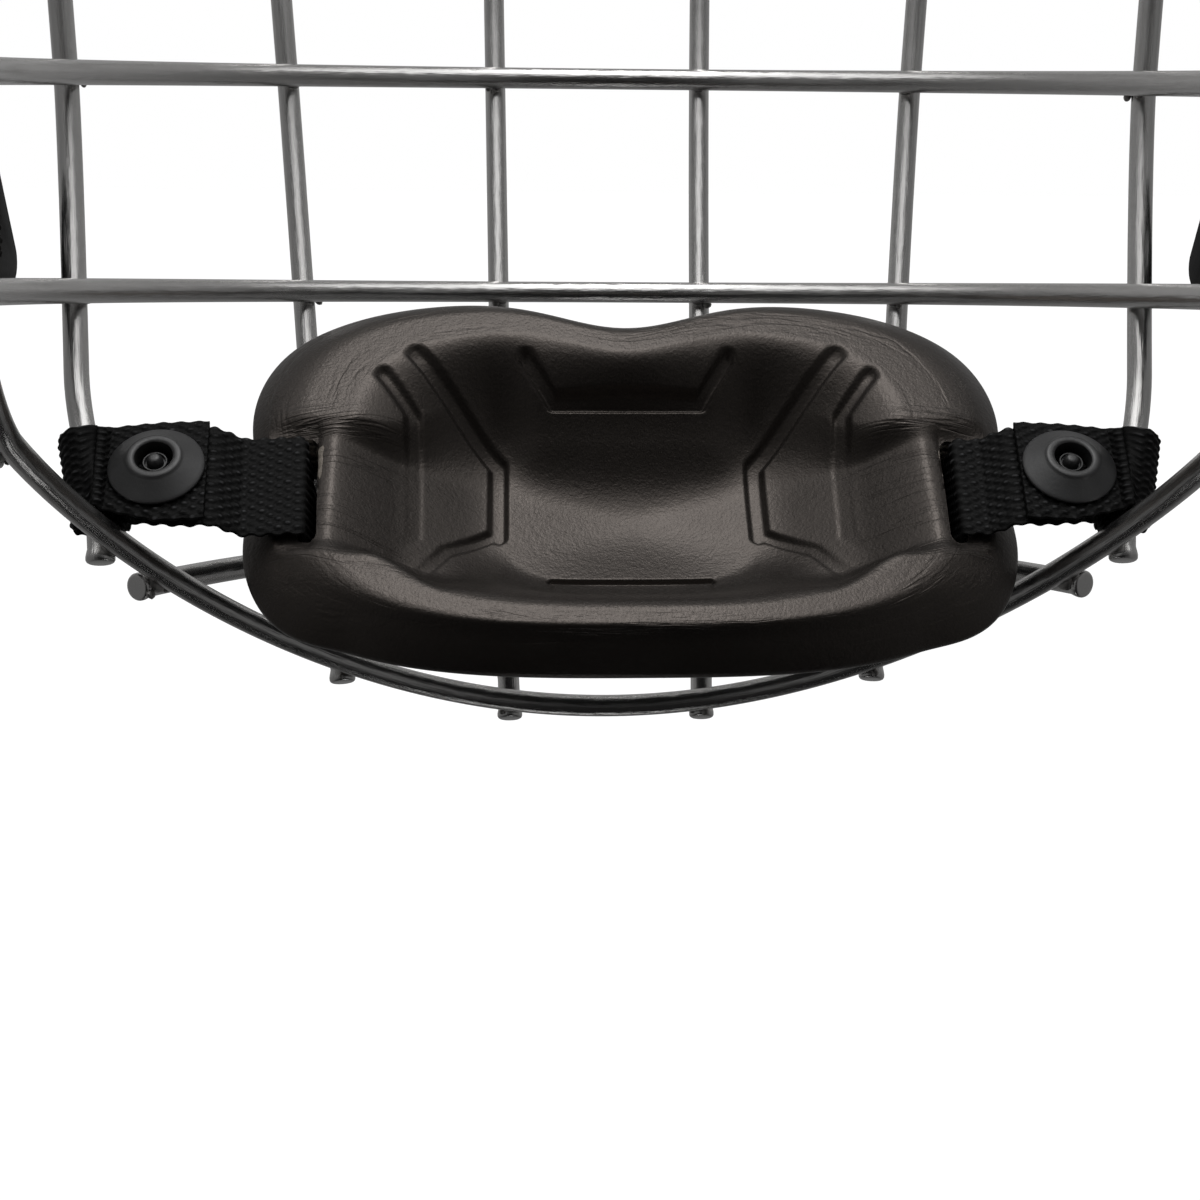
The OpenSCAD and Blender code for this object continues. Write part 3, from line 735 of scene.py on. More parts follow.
# Where the wrinkles beside a slot start and end, and where its two ends gather them
FOLDS_FROM, FOLDS_TO, GATHER_AT, GATHER_REACH = 31, 53, 11.5, 4.5


def fold_marks(u, v, k, run):
    """Where the skin wrinkles, beside the slots and along the roll, where it is torn at the
    slots' inner edges, and the lay of the wrinkles."""
    side_v = side_of(u, slot_v(1), slot_v(-1))
    au, dv = np.abs(u), v - side_v
    near = ease((au - FOLDS_FROM) / 8) * (1 - ease((au - FOLDS_TO) / 3))
    ends = sum(np.exp(-(((dv - v0) / GATHER_REACH) ** 2)) for v0 in (GATHER_AT, -GATHER_AT))
    slot = near * (0.95 * np.minimum(1, ends) + 0.45 * np.exp(-((dv / 9) ** 2)))
    roll = ease((k - 0.70) / 0.10) * (1 - near * np.exp(-((dv / 13) ** 4)))
    fan = v + 0.012 * (au - 44) * dv
    lay = np.column_stack([u * 0.055, fan * 0.62, np.zeros_like(u)])
    ring = np.column_stack([run * 0.06, k * 20, np.full_like(u, 7.0)])
    width = side_of(u, 0.55, 0.45 + 0.75 * ease((dv - 1.0) / 1.5))
    torn = ease((au - 49.2 + width) / 0.5) * ease((9.0 - np.abs(dv)) / 1.0) * ease((54 - au) / 2)
    return slot, roll, torn, lay, ring


def pad_back(k):
    return -BOWL - PAD_T + (BOWL + PAD_T + SIDE_W) * ease((k - 0.3) / 0.6)


def tucked(u, v, k):
    """The lower edge is drawn in towards the back, so that it clears the rim below."""
    low = (1 - ease((np.abs(u) - 42) / 16)) * ease(-v / 16) * ease((k - 0.78) / 0.15)
    return v * (1 - 0.09 * low)


def cup_rings(outline, reach, heights):
    """Rings of points about the middle: each height is a number or a function of u, v, k."""
    rings = []
    for k, height in zip(reach, heights):
        u, v = outline.T * k
        w = height(u, v, k) if callable(height) else height
        rings.append(cup_place(u, tucked(u, v, k), w))
    return rings


def mark_folds(made, outline, reach):
    """The wrinkles' masks and lays are kept on the pad's points for its finish."""
    run = np.arange(len(outline)) * PAD_RUN / len(outline)
    marks = [fold_marks(*outline.T * k, k * np.ones(len(outline)), run) for k in reach]
    spare = len(made.data.vertices) - len(outline) * len(reach)
    for name, values in zip(FOLD_MARKS, zip(*marks)):
        values = np.concatenate(values)
        store(made, name, np.concatenate([values, np.zeros((spare, *values.shape[1:]))]))


def dish(name, rings, first, last, material):
    """A closed dish from rings of points and a middle point at either end."""
    count = len(rings[0])
    points = np.vstack([*rings, [first], [last]])
    top, bottom, end = len(points) - 2, len(points) - 1, (len(rings) - 1) * count
    faces = grid_faces(len(rings), count)
    faces += [(top, (j + 1) % count, j) for j in range(count)]
    faces += [(bottom, end + j, end + (j + 1) % count) for j in range(count)]
    return rework(mesh_object(name, points, faces, material), outward)


def slot_cutter(materials):
    """Two round-ended bars that cut the strap slots and leave bare foam there."""
    length, half = WEB_W + 1.6, (WEB_T + 1.2) / 2 + SLOT_WEAR
    ends = [(s, pi * (i / 8 + (s < 0))) for s in (1, -1) for i in range(9)]
    ring = [(half * cos(a), half * sin(a) + s * (length / 2 - half)) for s, a in ends]
    n, points, faces = len(ring), [], []
    for side in (-1, 1):
        bar = [*grid_faces(2, n), tuple(reversed(range(n))), tuple(range(n, 2 * n))]
        faces += [tuple(len(points) + j for j in face) for face in bar]
        c, s = cos(-side * RISE), sin(-side * RISE)
        points += [
            cup_place(side * (SLOT_U - SLOT_WEAR) + x * c - y * s, slot_v(side) + x * s + y * c, w)
            for w in (-60, 12)
            for x, y in ring
        ]
    made = mesh_object("slot_cutter", points, faces, smooth=False)
    for material in materials:
        made.data.materials.append(material)
    made.hide_render = made.hide_viewport = True
    return made


def cut_slots(made, cutter, lining):
    """Cut the slots, lined with one of the cutter's materials."""
    for face in cutter.data.polygons:
        face.material_index = lining
    trim = made.modifiers.new("strap slots", "BOOLEAN")
    trim.operation, trim.solver, trim.object = "DIFFERENCE", "EXACT", cutter
    return shade(settle(made), 50)


# ---- Webbing ----


# A strap's axes where it lies flat with the cup, and the way out from its wire
FLAT_V = sin(RISE) * CUP_U + cos(RISE) * CUP_V
FLAT_U = -cos(RISE) * CUP_U + sin(RISE) * CUP_V
WIRE_SIDE = unit(STRAP_DIR[0] * STRAP_DIR - CUP_U)


def band_at(side, p, q, turn, along):
    """A place on a strap, counted from its wire p, out of its plane q and along the wire."""
    p, q, turn, along = (np.asarray(x, float)[..., None] for x in (p, q, turn, along))
    d = unit(mix(STRAP_DIR, FLAT_V, turn))
    s = mix(WIRE_SIDE, FLAT_U, turn)
    u = unit(s - (s * d).sum(-1, keepdims=True) * d)
    return (STRAP_AT + p * u + q * np.cross(d, u) + along * d) * np.array([side, 1, 1])


def smooth_path(path, step, rounding):
    """The path's columns resampled at an even step, with its corners rounded."""
    path = np.array(path, float)
    length = run_along(path)
    cols = columns_at(np.linspace(0, length[-1], int(length[-1] / FINE) + 1), length, path)
    reach = int(rounding / FINE)
    window = np.hanning(2 * reach + 3)[1:-1]
    window /= window.sum()
    ahead, behind = cols[reach:0:-1], cols[-2 : -reach - 2 : -1]
    padded = np.vstack([2 * cols[0] - ahead, cols, 2 * cols[-1] - behind])
    soft = np.column_stack([np.convolve(column, window, "valid") for column in padded.T])
    length = run_along(soft)
    want = np.linspace(0, length[-1], max(3, int(length[-1] / step) + 1))
    return want, columns_at(want, length, soft)


# Width of a yarn, length of its float over the others, and the finest step along a path
YARN, FLOAT, FINE = 0.8, 2.7, 0.05
# Depth of the weave, and the selvage: its width, share by which it thins, nubs and straying
WEAVE_DEEP, SELVAGE, THINNER, NUB, STRAY = 0.36, 0.9, 0.55, 0.16, 0.175


def weave(s, t):
    """Height of the woven face, from 0 to 1: yarns that surface over every other pick."""
    row = np.floor(t / YARN)
    over = t / YARN - row - 0.5
    phase = s / FLOAT + 0.5 * (row % 2) + 0.22 * (lattice_noise(s * 0.12, t * 0.15) - 0.5)
    beat = np.maximum(0, np.cos(2 * np.pi * phase) + 0.12) / 1.12
    swell = 0.8 + 0.4 * (lattice_noise(s * 0.7 + 9, row * 3.1) - 0.5)
    return swell * beat**0.6 * np.sqrt(np.maximum(0, 1 - (over / 0.53) ** 2))


def band_faces(work):
    """Turn the faces outwards and cut the band's two ends into triangles."""
    bmesh.ops.recalc_face_normals(work, faces=work.faces)
    bmesh.ops.triangulate(work, faces=[f for f in work.faces if len(f.verts) > 4])


def band_mesh(name, place, side, path, material, fineness, rounding=0.5, start=0.0):
    """A closed band of webbing. place(side, p, q, turn, along) gives a point, and the path's
    rows are p, q, turn, lower half width and upper half width."""
    step, across = fineness
    want, rows = smooth_path(path, step, rounding)
    way = np.gradient(rows[:, :2], axis=0)
    way /= np.linalg.norm(way, axis=1)[:, None]
    share = np.linspace(0, 1, across + 1)
    share = np.concatenate([share, share[::-1]])[None, :]
    face = np.repeat([1.0, -1.0], across + 1)[None, :]
    p, q, turn, low, high = (rows[:, i : i + 1] for i in range(5))
    run, flat = want[:, None] + start, HALF_WEB * (2 * share - 1)
    inset = 1 - ease(np.minimum(share, 1 - share) * WEB_W / SELVAGE)
    lift = weave(run + np.where(face > 0, 0, FLOAT / 2), flat + 0 * run)
    wall = WEB_T / 2 * (1 - THINNER * inset) - WEAVE_DEEP * (1 - lift) * (1 - 0.5 * inset)
    nub = NUB * inset * np.cos(2 * np.pi * run / FLOAT) * np.sign(share - 0.5)
    stray = (lattice_noise(run * 0.11, 0 * run + start + 2) - 0.5) * (2 * share - 1) ** 2
    along = mix(-low, high, share) + nub + stray * STRAY
    x = p - face * wall * way[:, 1:]
    y = q + face * wall * way[:, :1]
    points = place(side, x, y, turn + 0 * x, along) * MM
    n, m = points.shape[:2]
    faces = [*grid_faces(n, m), tuple(reversed(range(m))), tuple(range((n - 1) * m, n * m))]
    made = mesh_object(name, points.reshape(-1, 3), faces, material)
    layer = made.data.uv_layers.new(name="web")
    at = np.zeros(len(made.data.loops), np.int32)
    made.data.loops.foreach_get("vertex_index", at)
    uvs = np.dstack([run + 0 * flat, flat + 0 * run]).reshape(-1, 2) * MM
    layer.data.foreach_set("uv", uvs[at].astype(np.float32).ravel())
    store(made, "lift", lift.ravel())
    return rework(made, band_faces)


# The strap's loop round its wire, its two layers and the seat where it crosses the roll
LOOP_MID = R + LOOP_SLACK + WEB_T / 2
LOOP_LOW, LOOP_HIGH, HALF_WEB = 7.0, 8.0, WEB_W / 2
PEEL_P, PEEL_TURN = 1.1, 0.9
BASE_Q = STRAP_LIFT - 0.1 - WEB_T / 2
FLAP_Q = STRAP_LIFT + 0.1 + WEB_T / 2
CAP_EDGE = SNAP_U - CAP_D / 2
SEAT_Q = -2.2 - CUP_DROP + 0.75 + WEB_T / 2
BEHIND_SHELL = 0.05 + SHELL_T + 0.4 + WEB_T / 2 + CUP_DROP


def loop(start, step, count):
    """Places along the middle of a band that is looped round a wire, by turns in degrees."""
    turns = [radians(start + step * i) for i in range(count)]
    return [(LOOP_MID * cos(a), LOOP_MID * sin(a)) for a in turns]


def strap_path(side):
    """The strap from behind the cup, up through its slot and round its wire."""
    sp = slot_p(side)
    tail = [(SLOT_U - CUP_W * k, pad_back(k) - BEHIND_SHELL) for k in (0.55, 0.66, 0.78)]
    rows = [(sp + x, y, 1, HALF_WEB) for x, y in tail]
    rows += [
        (sp - SLOT_WEAR, tail[2][1] - 0.3, 1, HALF_WEB),
        (sp - SLOT_WEAR, SEAT_Q, 1, HALF_WEB),
        (22, SEAT_Q, 1, HALF_WEB),
        (18, BASE_Q, 1, HALF_WEB),
        (14, BASE_Q, 1, HALF_WEB),
        (6.5, BASE_Q, 1, HALF_WEB - 1),
        (4.3, -1.7, 0.5, HALF_WEB - 1.5, HALF_WEB - 0.5),
        (2, 0.1 - LOOP_MID, 0, LOOP_LOW, LOOP_HIGH),
    ]
    rows += [(x, y, 0, LOOP_LOW, LOOP_HIGH) for x, y in loop(-90, -12, 16)]
    rows.append((PEEL_P - 0.25, LOOP_MID - 0.04, PEEL_TURN, LOOP_LOW, LOOP_HIGH))
    return [(*row, HALF_WEB)[:5] for row in rows]


def flap_path():
    return [
        (PEEL_P - 0.22, LOOP_MID - 0.045, PEEL_TURN, LOOP_LOW, LOOP_HIGH),
        (PEEL_P + 0.5, LOOP_MID - 0.12, PEEL_TURN, LOOP_LOW, LOOP_HIGH),
        (CAP_EDGE - 0.45, FLAP_Q, 1, LOOP_LOW, HALF_WEB - 0.6),
        (SNAP_U, FLAP_Q, 1, HALF_WEB, HALF_WEB),
        (FLAP_U, FLAP_Q, 1, HALF_WEB, HALF_WEB),
    ]


# ---- Settings ----


def colour_setting(name, description, default):
    return bpy.props.FloatVectorProperty(
        name=name, description=description, default=default, size=3, min=0, max=1,
        subtype="COLOR")


class CageWireSettings(bpy.types.PropertyGroup):
    wire_diameter: bpy.props.FloatProperty(
        name="Wire Diameter", description="Diameter of every wire", default=0.0038,
        min=0.003, max=0.0045, precision=4, unit="LENGTH")
    wire_sides: bpy.props.IntProperty(
        name="Wire Sides", description="Faces round a wire", default=28, min=12, max=48)
    bead_size: bpy.props.FloatProperty(
        name="Weld Bead", description="Radius of a weld bead", default=0.00175,
        min=0.001, max=0.0025, precision=5, unit="LENGTH")
    steel_colour: colour_setting("Steel", "Colour of the satin wire", (0.60, 0.592, 0.583))


class ChinCupSettings(bpy.types.PropertyGroup):
    foam_colour: colour_setting(
        "Foam Skin", "Colour of the pressed foam skin", (0.0090, 0.0078, 0.0070))
    shell_colour: colour_setting(
        "Backing", "Colour of the backing shell", (0.007, 0.007, 0.0073))
    around: bpy.props.IntProperty(
        name="Points Around", description="Points round the pad's outline", default=480,
        min=120, max=800)
    rings: bpy.props.IntProperty(
        name="Rings", description="Rings from the pad's middle to its edge", default=182,
        min=40, max=200)


class StrapSettings(bpy.types.PropertyGroup):
    web_colour: colour_setting(
        "Webbing", "Colour of the woven nylon", (0.006, 0.006, 0.0063))
    plastic_colour: colour_setting(
        "Moulding", "Colour of the clips, snaps and tabs", (0.013, 0.013, 0.0135))


class StudioSettings(bpy.types.PropertyGroup):
    top_light: bpy.props.FloatProperty(
        name="Top Light", description="Power of the large soft light overhead", default=1.4,
        min=0, max=200, unit="POWER")
    floor_depth: bpy.props.FloatProperty(
        name="Floor", description="Height of the floor", default=-0.45, min=-2, max=-0.24,
        unit="LENGTH")


def settings(group):
    """One of the groups of settings of the scene."""
    return getattr(bpy.context.scene, group)


SIDES = ((-1, "left"), (1, "right"))
# Clips and tabs are a darker share of the moulding's colour
SATIN_SHARE = 0.3
# Drops of weld flash: their chance in each quarter, and limits of their distance and size
FLASH_CHANCE, FLASH_OUT, FLASH_SIZE = 0.4, (1.8, 2.5), (0.25, 0.5)


def webbing(name):
    colour = settings("cage_strap").web_colour
    return finish_material(name, colour, 0.62, woven_nylon, Specular_IOR_Level=0.14)


# ---- Operators ----


def node_group(name, points, inputs, result):
    """A geometry tree with named sockets: its data, the tree and the tree's inputs."""
    data = bpy.data.node_groups.new(name, "GeometryNodeTree")
    for label, kind in ((points, "Geometry"), *inputs):
        data.interface.new_socket(label, in_out="INPUT", socket_type="NodeSocket" + kind)
    data.interface.new_socket(result, in_out="OUTPUT", socket_type="NodeSocketGeometry")
    tree = Tree(data)
    return data, tree, tree.add("NodeGroupInput").outputs


def end_group(tree, geometry, material):
    """The geometry leaves the tree as one real mesh with its material."""
    real = tree.add("GeometryNodeRealizeInstances", {"Geometry": geometry})
    given = {"Geometry": real, "Material": material}
    tree.add("NodeGroupOutput", {0: tree.add("GeometryNodeSetMaterial", given)})


def keep(tree, geometry, name, kind, value):
    """Store a named value on the points of a geometry."""
    given = {"Geometry": geometry, "Name": name, "Value": value}
    return tree.add("GeometryNodeStoreNamedAttribute", given, data_type=kind, domain="POINT")


def named(tree, name, kind):
    return tree.add("GeometryNodeInputNamedAttribute", {"Name": name}, data_type=kind)


def tube_tree():
    """Wires: a line of points becomes a tube that keeps its run and its ring for the finish."""
    inputs = (("Radius", "Float"), ("Sides", "Int"), ("Steel", "Material"))
    data, tree, given = node_group("Drawn Wire", "Line", inputs, "Wire")
    line = tree.add("GeometryNodeMeshToCurve", {"Mesh": given["Line"]})
    sizes = {"Curve": line, "Radius": named(tree, "taper", "FLOAT")}
    sized = tree.add("GeometryNodeSetCurveRadius", sizes)
    length = tree.add("GeometryNodeSplineParameter").outputs["Length"]
    run = keep(tree, sized, "run", "FLOAT", length)
    way = keep(tree, run, "way", "FLOAT_VECTOR", tree.add("GeometryNodeInputTangent"))
    sizes = {"Resolution": given["Sides"], "Radius": given["Radius"]}
    circle = tree.add("GeometryNodeCurvePrimitiveCircle", sizes)
    share = tree.vector("NORMALIZE", tree.add("GeometryNodeInputPosition"))
    ring = keep(tree, circle, "ring", "FLOAT_VECTOR", share)
    curves = {"Curve": way, "Profile Curve": ring, "Fill Caps": True}
    tube = tree.add("GeometryNodeCurveToMesh", curves)
    if "Scale" in tube.inputs:
        tree.put(tube.inputs["Scale"], tree.add("GeometryNodeInputRadius"))
    end_group(tree, tube, given["Steel"])
    return data


def run_nodes(made, data, values):
    """A modifier with that tree, its inputs set by identifier, settled into a plain mesh."""
    modifier = made.modifiers.new(data.name, "NODES")
    modifier.node_group = data
    for item in data.interface.items_tree:
        if item.item_type == "SOCKET" and item.in_out == "INPUT" and item.name in values:
            modifier[item.identifier] = values[item.name]
    return settle(made)


# A cut end is crimped a little: distances from it, and shares of the wire's radius there
END_STEPS = (0.0, 0.06, 0.2, 0.45, 0.9, 1.5, 2.2)
END_SIZES = (0.80, 0.95, 1.07, 1.14, 1.15, 1.09, 1.0)


def wire_piece(name, path, data, values):
    """A wire of the grid: its path, with finer points at both cut ends, becomes a tube."""
    ends = []
    for end, inner in ((path[0], path[1]), (path[-1], path[-2])):
        ends.append([end + s * unit(inner - end) for s in END_STEPS])
    path = [*ends[0], *path[3:-3], *reversed(ends[1])]
    made = mesh_object(name, [p * MM for p in path], [], smooth=False)
    links = [(i, i + 1) for i in range(len(path) - 1)]
    made.data.edges.add(len(links))
    made.data.edges.foreach_set("vertices", np.array(links, np.int32).ravel())
    middle = [1.0] * (len(path) - 2 * len(END_SIZES))
    store(made, "taper", [*END_SIZES, *middle, *reversed(END_SIZES)])
    made.data.update()
    return shade(run_nodes(made, data, values), 32)


class CAGE_OT_wires(bpy.types.Operator):
    """Draw every wire of the grid as a smooth tube with flat cut ends"""

    bl_idname = "cage.wires"
    bl_label = "Wires"

    def execute(self, context):
        wire = settings("cage_wire")
        steel = finish_material("drawn steel", wire.steel_colour, 0.3, drawn_steel, Metallic=1.0)
        values = {"Radius": wire.wire_diameter / 2, "Sides": wire.wire_sides, "Steel": steel}
        data = tube_tree()
        paths = {"rim_wire": rim_path(), "brow_bar": brow_path()}
        for name, (z, rise) in LEVELS.items():
            paths[name] = across_path(z, rise, CHIN_STUB if name == "across_chin" else STUB)
        for i, (turn, bend) in enumerate(zip(TURNS, BENDS), 1):
            paths[f"upright_l{i}"] = upright_path(-turn, bend)
            paths[f"upright_r{i}"] = upright_path(turn, bend)
        for name, path in paths.items():
            dress(wire_piece("drawn_" + name, path, data, values), "cage", name)
        return {"FINISHED"}


def random_value(tree, kind, low, high, seed, first=0):
    """A random value for each point, with its two limits from the first socket on."""
    given = {first: low, first + 1: high, "Seed": seed}
    return tree.add("FunctionNodeRandomValue", given, data_type=kind)


def bead_tree():
    """Weld beads: a flattened lump at every point, as large as its share says."""
    inputs = (("Size", "Float"), ("Seed", "Int"), ("Metal", "Material"))
    data, tree, given = node_group("Weld Beads", "Contacts", inputs, "Beads")
    ball = tree.add("GeometryNodeMeshIcoSphere", {"Radius": 1.0, "Subdivisions": 2})
    cloud = tree.number("ShaderNodeTexNoise", 0, {"Scale": 1.7, "Detail": 2.0})
    place = tree.add("GeometryNodeInputPosition")
    swollen = tree.vector("SCALE", place, Scale=cloud * 0.5 + 0.75)
    lump = tree.add("GeometryNodeSetPosition", {"Geometry": ball, "Position": swollen})
    smooth = tree.add("GeometryNodeSetShadeSmooth", {"Geometry": lump})
    way = {"Vector": named(tree, "way", "FLOAT_VECTOR")}
    stand = tree.add("FunctionNodeAlignRotationToVector", way, axis="Z")
    turn = random_value(tree, "FLOAT", 0.0, 6.28, given["Seed"], 2).outputs[1]
    spin = tree.add("FunctionNodeAxisAngleToRotation", {"Angle": turn})
    turns = {"Rotation": stand, "Rotate By": spin}
    roll = tree.add("FunctionNodeRotateRotation", turns, rotation_space="LOCAL")
    least, most = (0.88, 0.88, 0.52), (1.12, 1.12, 0.66)
    vary = random_value(tree, "FLOAT_VECTOR", least, most, given["Seed"])
    share = Field(tree, named(tree, "share", "FLOAT").outputs[0])
    scale = tree.vector("SCALE", vary, Scale=share * given["Size"])
    places = {"Points": given["Contacts"], "Instance": smooth, "Rotation": roll, "Scale": scale}
    beads = tree.add("GeometryNodeInstanceOnPoints", places)
    end_group(tree, beads, given["Metal"])
    return data


class CAGE_OT_welds(bpy.types.Operator):
    """Set a weld bead wherever two wires touch, with drops of flash beside some"""

    bl_idname = "cage.welds"
    bl_label = "Weld Beads"

    def execute(self, context):
        found = [(p, d, 1.0) for p, d in contacts()]
        draw = np.random.default_rng(5)
        for p, d, _ in list(found):
            for quarter in np.flatnonzero(draw.random(4) < FLASH_CHANCE):
                turn = radians(45 + 90 * quarter) + draw.uniform(-0.2, 0.2)
                level = unit(np.cross(d, [0, 0, 1.0]))
                away = level * cos(turn) + np.cross(level, d) * sin(turn)
                found.append((p + away * draw.uniform(*FLASH_OUT), d, draw.uniform(*FLASH_SIZE)))
        metal = finish_material("weld metal", (0.35, 0.34, 0.33), 0.4, weld_steel, Metallic=1.0)
        made = mesh_object("weld_beads", [p * MM for p, _, _ in found], [], smooth=False)
        store(made, "way", [d for _, d, _ in found])
        store(made, "share", [share for _, _, share in found])
        size = settings("cage_wire").bead_size
        run_nodes(made, bead_tree(), {"Size": size, "Seed": 5, "Metal": metal})
        dress(made, "cage", "weld_nuggets")
        return {"FINISHED"}


# Rings of the pad's face: from and to a share of its outline, with a share of all rings
PAD_BANDS = ((0.0, 0.28, 0.14), (0.28, 0.62, 0.56), (0.62, 1.0, 0.30))
PAD_BACK = (0.93, 0.9, 0.86, 0.8, 0.72, 0.65, 0.55, 0.45, 0.35, 0.25, 0.15, 0.07)
SHELL_BACK = (0.06, 0.15, 0.25, 0.35, 0.45, 0.55, 0.65, 0.72, 0.8, 0.86, 0.9, 0.92, 0.932)
SHELL_EDGE, SHELL_GAP = 0.938, 0.05


def pad_rings(rings):
    """Shares of the way out, and heights, of the rings of the face, the side and the back."""
    reach = [
        mix(low, high, s) for low, high, part in PAD_BANDS for s in shares(round(rings * part))]
    heights = [pad_face] * len(reach)
    for a in (pi / 2 * s for s in shares(12)):
        reach.append(1 + 0.006 * sin(2 * a) - 0.05 * (1 - cos(a)))
        heights.append(side_height(sin(a)))
    return [*reach, *PAD_BACK], [*heights, *(pad_back(k) for k in PAD_BACK)]


def shell_rings():
    """Shares and heights of the rings of the backing shell, inside and then outside."""
    inner = [pad_back(k) - SHELL_GAP for k in SHELL_BACK]
    outer = [w - SHELL_T for w in reversed(inner)]
    edge = inner[-1] - SHELL_T / 2
    reach = [*SHELL_BACK, SHELL_EDGE, SHELL_EDGE, *reversed(SHELL_BACK)]
    return reach, [*inner, edge + 0.45, edge - 0.45, *outer]


class CAGE_OT_chin_cup(bpy.types.Operator):
    """Mould the padded chin cup and its backing shell, and cut their strap slots"""

    bl_idname = "cage.chin_cup"
    bl_label = "Chin Cup"

    def execute(self, context):
        cup = settings("cage_cup")
        foam = finish_material(
            "grained foam skin", cup.foam_colour, 0.45, grained_foam, Specular_IOR_Level=0.55,
            Specular_Tint=(1.0, 0.88, 0.80, 1.0))
        bare = finish_material("cut foam", TORN_FOAM, 0.9, cut_foam)
        backing = finish_material("backing rubber", cup.shell_colour, 0.5, moulded)
        around = cup.around // refined(1)
        outline = cup_outline(around)
        reach, heights = pad_rings(cup.rings // refined(1))
        first, last = (cup_place(0.0, 0.0, w) for w in (-BOWL, pad_back(0)))
        pad = dish("chin_cup_pad", cup_rings(outline, reach, heights), first, last, foam)
        mark_folds(pad, outline, reach)
        pad.data.materials.append(bare)
        cutter = slot_cutter((foam, bare))
        cut_slots(pad, cutter, 1)
        dress(pad, "cup", "chin_pad")

        reach, heights = shell_rings()
        rings = cup_rings(cup_outline(around // 2), reach, heights)
        first, last = (cup_place(0.0, 0.0, heights[i]) for i in (0, -1))
        shell = dish("chin_cup_backing", rings, first, last, backing)
        cut_slots(shell, cutter, 0)
        dress(shell, "cup", "cup_shell")
        bpy.data.objects.remove(cutter)
        return {"FINISHED"}


class CAGE_OT_straps(bpy.types.Operator):
    """Weave the chin straps and their flaps"""

    bl_idname = "cage.straps"
    bl_label = "Chin Straps"

    def execute(self, context):
        nylon = webbing("woven nylon")
        fineness = refined((0.23, 88))
        for side, name in SIDES:
            for kind, body, path, *shape in (
                ("strap", "cup", strap_path(side), 1.1, 0.0),
                ("flap", "flap_" + name, flap_path(), 0.25, 60.2),
            ):
                piece = f"{kind}_web_{name}"
                made = band_mesh(piece, band_at, side, path, nylon, fineness, *shape)
                dress(made, body, f"{kind}_{name}")
        return {"FINISHED"}


def snap_profiles():
    """Profiles, (radius, height), of a snap's cap on its flap and of its stud."""
    hole, edge, under, top = STUD_D / 2 + 1.0, CAP_D / 2, BASE_Q - WEB_T / 2 - 0.1, FLAP_Q + 3.0
    r = STUD_D / 2
    cap = [
        (hole, 0.1), (hole + 0.3, 0.0), (edge - 0.4, 0.0), (edge - 0.1, 0.06), (edge, 0.22),
        (edge - 0.02, 0.42), (edge - 0.14, 0.56), (edge - 0.5, 0.76), (hole + 1.62, 2.36),
        (hole + 1.4, 2.5), (hole + 1.3, 2.66), (hole + 1.12, 2.8), (hole + 0.85, 2.86),
        (hole + 0.45, 2.86), (hole + 0.16, 2.8), (hole, 2.62), (hole, 1.2)]
    stud = [
        (0.0, under - 1.2), (3.0, under - 1.2), (3.2, under - 1.0), (3.2, under - 0.2),
        (3.05, under), (r - 0.25, under), (r - 0.25, top - 1.9), (r, top - 1.6), (r, top - 1.0),
        (r - 0.08, top - 0.82), (r - 0.24, top - 0.82), (1.45, top - 1.3), (1.28, top - 1.3),
        (1.24, top - 0.6), (0.88, top + 0.06), (0.7, top + 0.2), (0.4, top + 0.25),
        (0.0, top + 0.25)]
    return (("cap", cap, FLAP_Q + WEB_T / 2 + 0.05), ("stud", stud, 0.0))


class CAGE_OT_snaps(bpy.types.Operator):
    """Turn the snap caps and studs"""

    bl_idname = "cage.snaps"
    bl_label = "Snaps"

    def execute(self, context):
        colour = settings("cage_strap").plastic_colour
        plastic = finish_material("matt moulding", colour, 0.4, moulded, Specular_IOR_Level=0.7)
        turns = refined(72)
        for side, name in SIDES:
            at = band_at(side, SNAP_U, 0, 1, 0)
            for kind, profile, base in snap_profiles():
                points, faces = lathe(profile, turns)
                points = [
                    (at + side * x * CUP_U + y * CUP_V + (z + base) * CUP_N) * MM
                    for x, y, z in points
                ]
                made = mesh_object(f"snap_{kind}_{name}", points, faces, plastic)
                shade(rework(made, outward), 40)
                body = "flap_" + name if kind == "cap" else "cup"
                dress(made, body, f"{kind}_{name}")
        return {"FINISHED"}


# Pieces that keep their CAD form: piece, node, body and width of the rounded edge in metres
MOULDINGS = (
    ("hinge_clip_", "clip_", "clip_", 0.0004),
    ("moulded_tab_", "side_tab_", "side_", 0.0003),
)


def merged(work):
    """Join the loose triangles of a CAD mesh and melt its flat ones together."""
    bmesh.ops.remove_doubles(work, verts=work.verts, dist=2e-6)
    bmesh.ops.dissolve_limit(
        work, angle_limit=radians(1.0), verts=work.verts, edges=work.edges)


def polished(name, node, material, width):
    """A copy of a CAD node with its edges rounded."""
    made = bpy.data.objects.new(name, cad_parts[node].data.copy())
    bpy.context.scene.collection.objects.link(made)
    rework(made, merged)
    made.data.materials.clear()
    made.data.materials.append(material)
    rounding = made.modifiers.new("round", "BEVEL")
    rounding.width, rounding.segments = width, 3
    rounding.limit_method, rounding.angle_limit = "ANGLE", radians(35)
    return shade(settle(made), 35)


class CAGE_OT_clips(bpy.types.Operator):
    """Round off the moulded hinge clips and the side tabs"""

    bl_idname = "cage.clips"
    bl_label = "Clips and Tabs"

    def execute(self, context):
        colour = [SATIN_SHARE * c for c in settings("cage_strap").plastic_colour]
        plastic = finish_material("satin moulding", colour, 0.45, moulded, Specular_IOR_Level=0.08)
        for _, side in SIDES:
            for piece, node, body, width in MOULDINGS:
                made = polished(piece + side, node + side, plastic, width)
                dress(made, body + side, node + side)
        return {"FINISHED"}


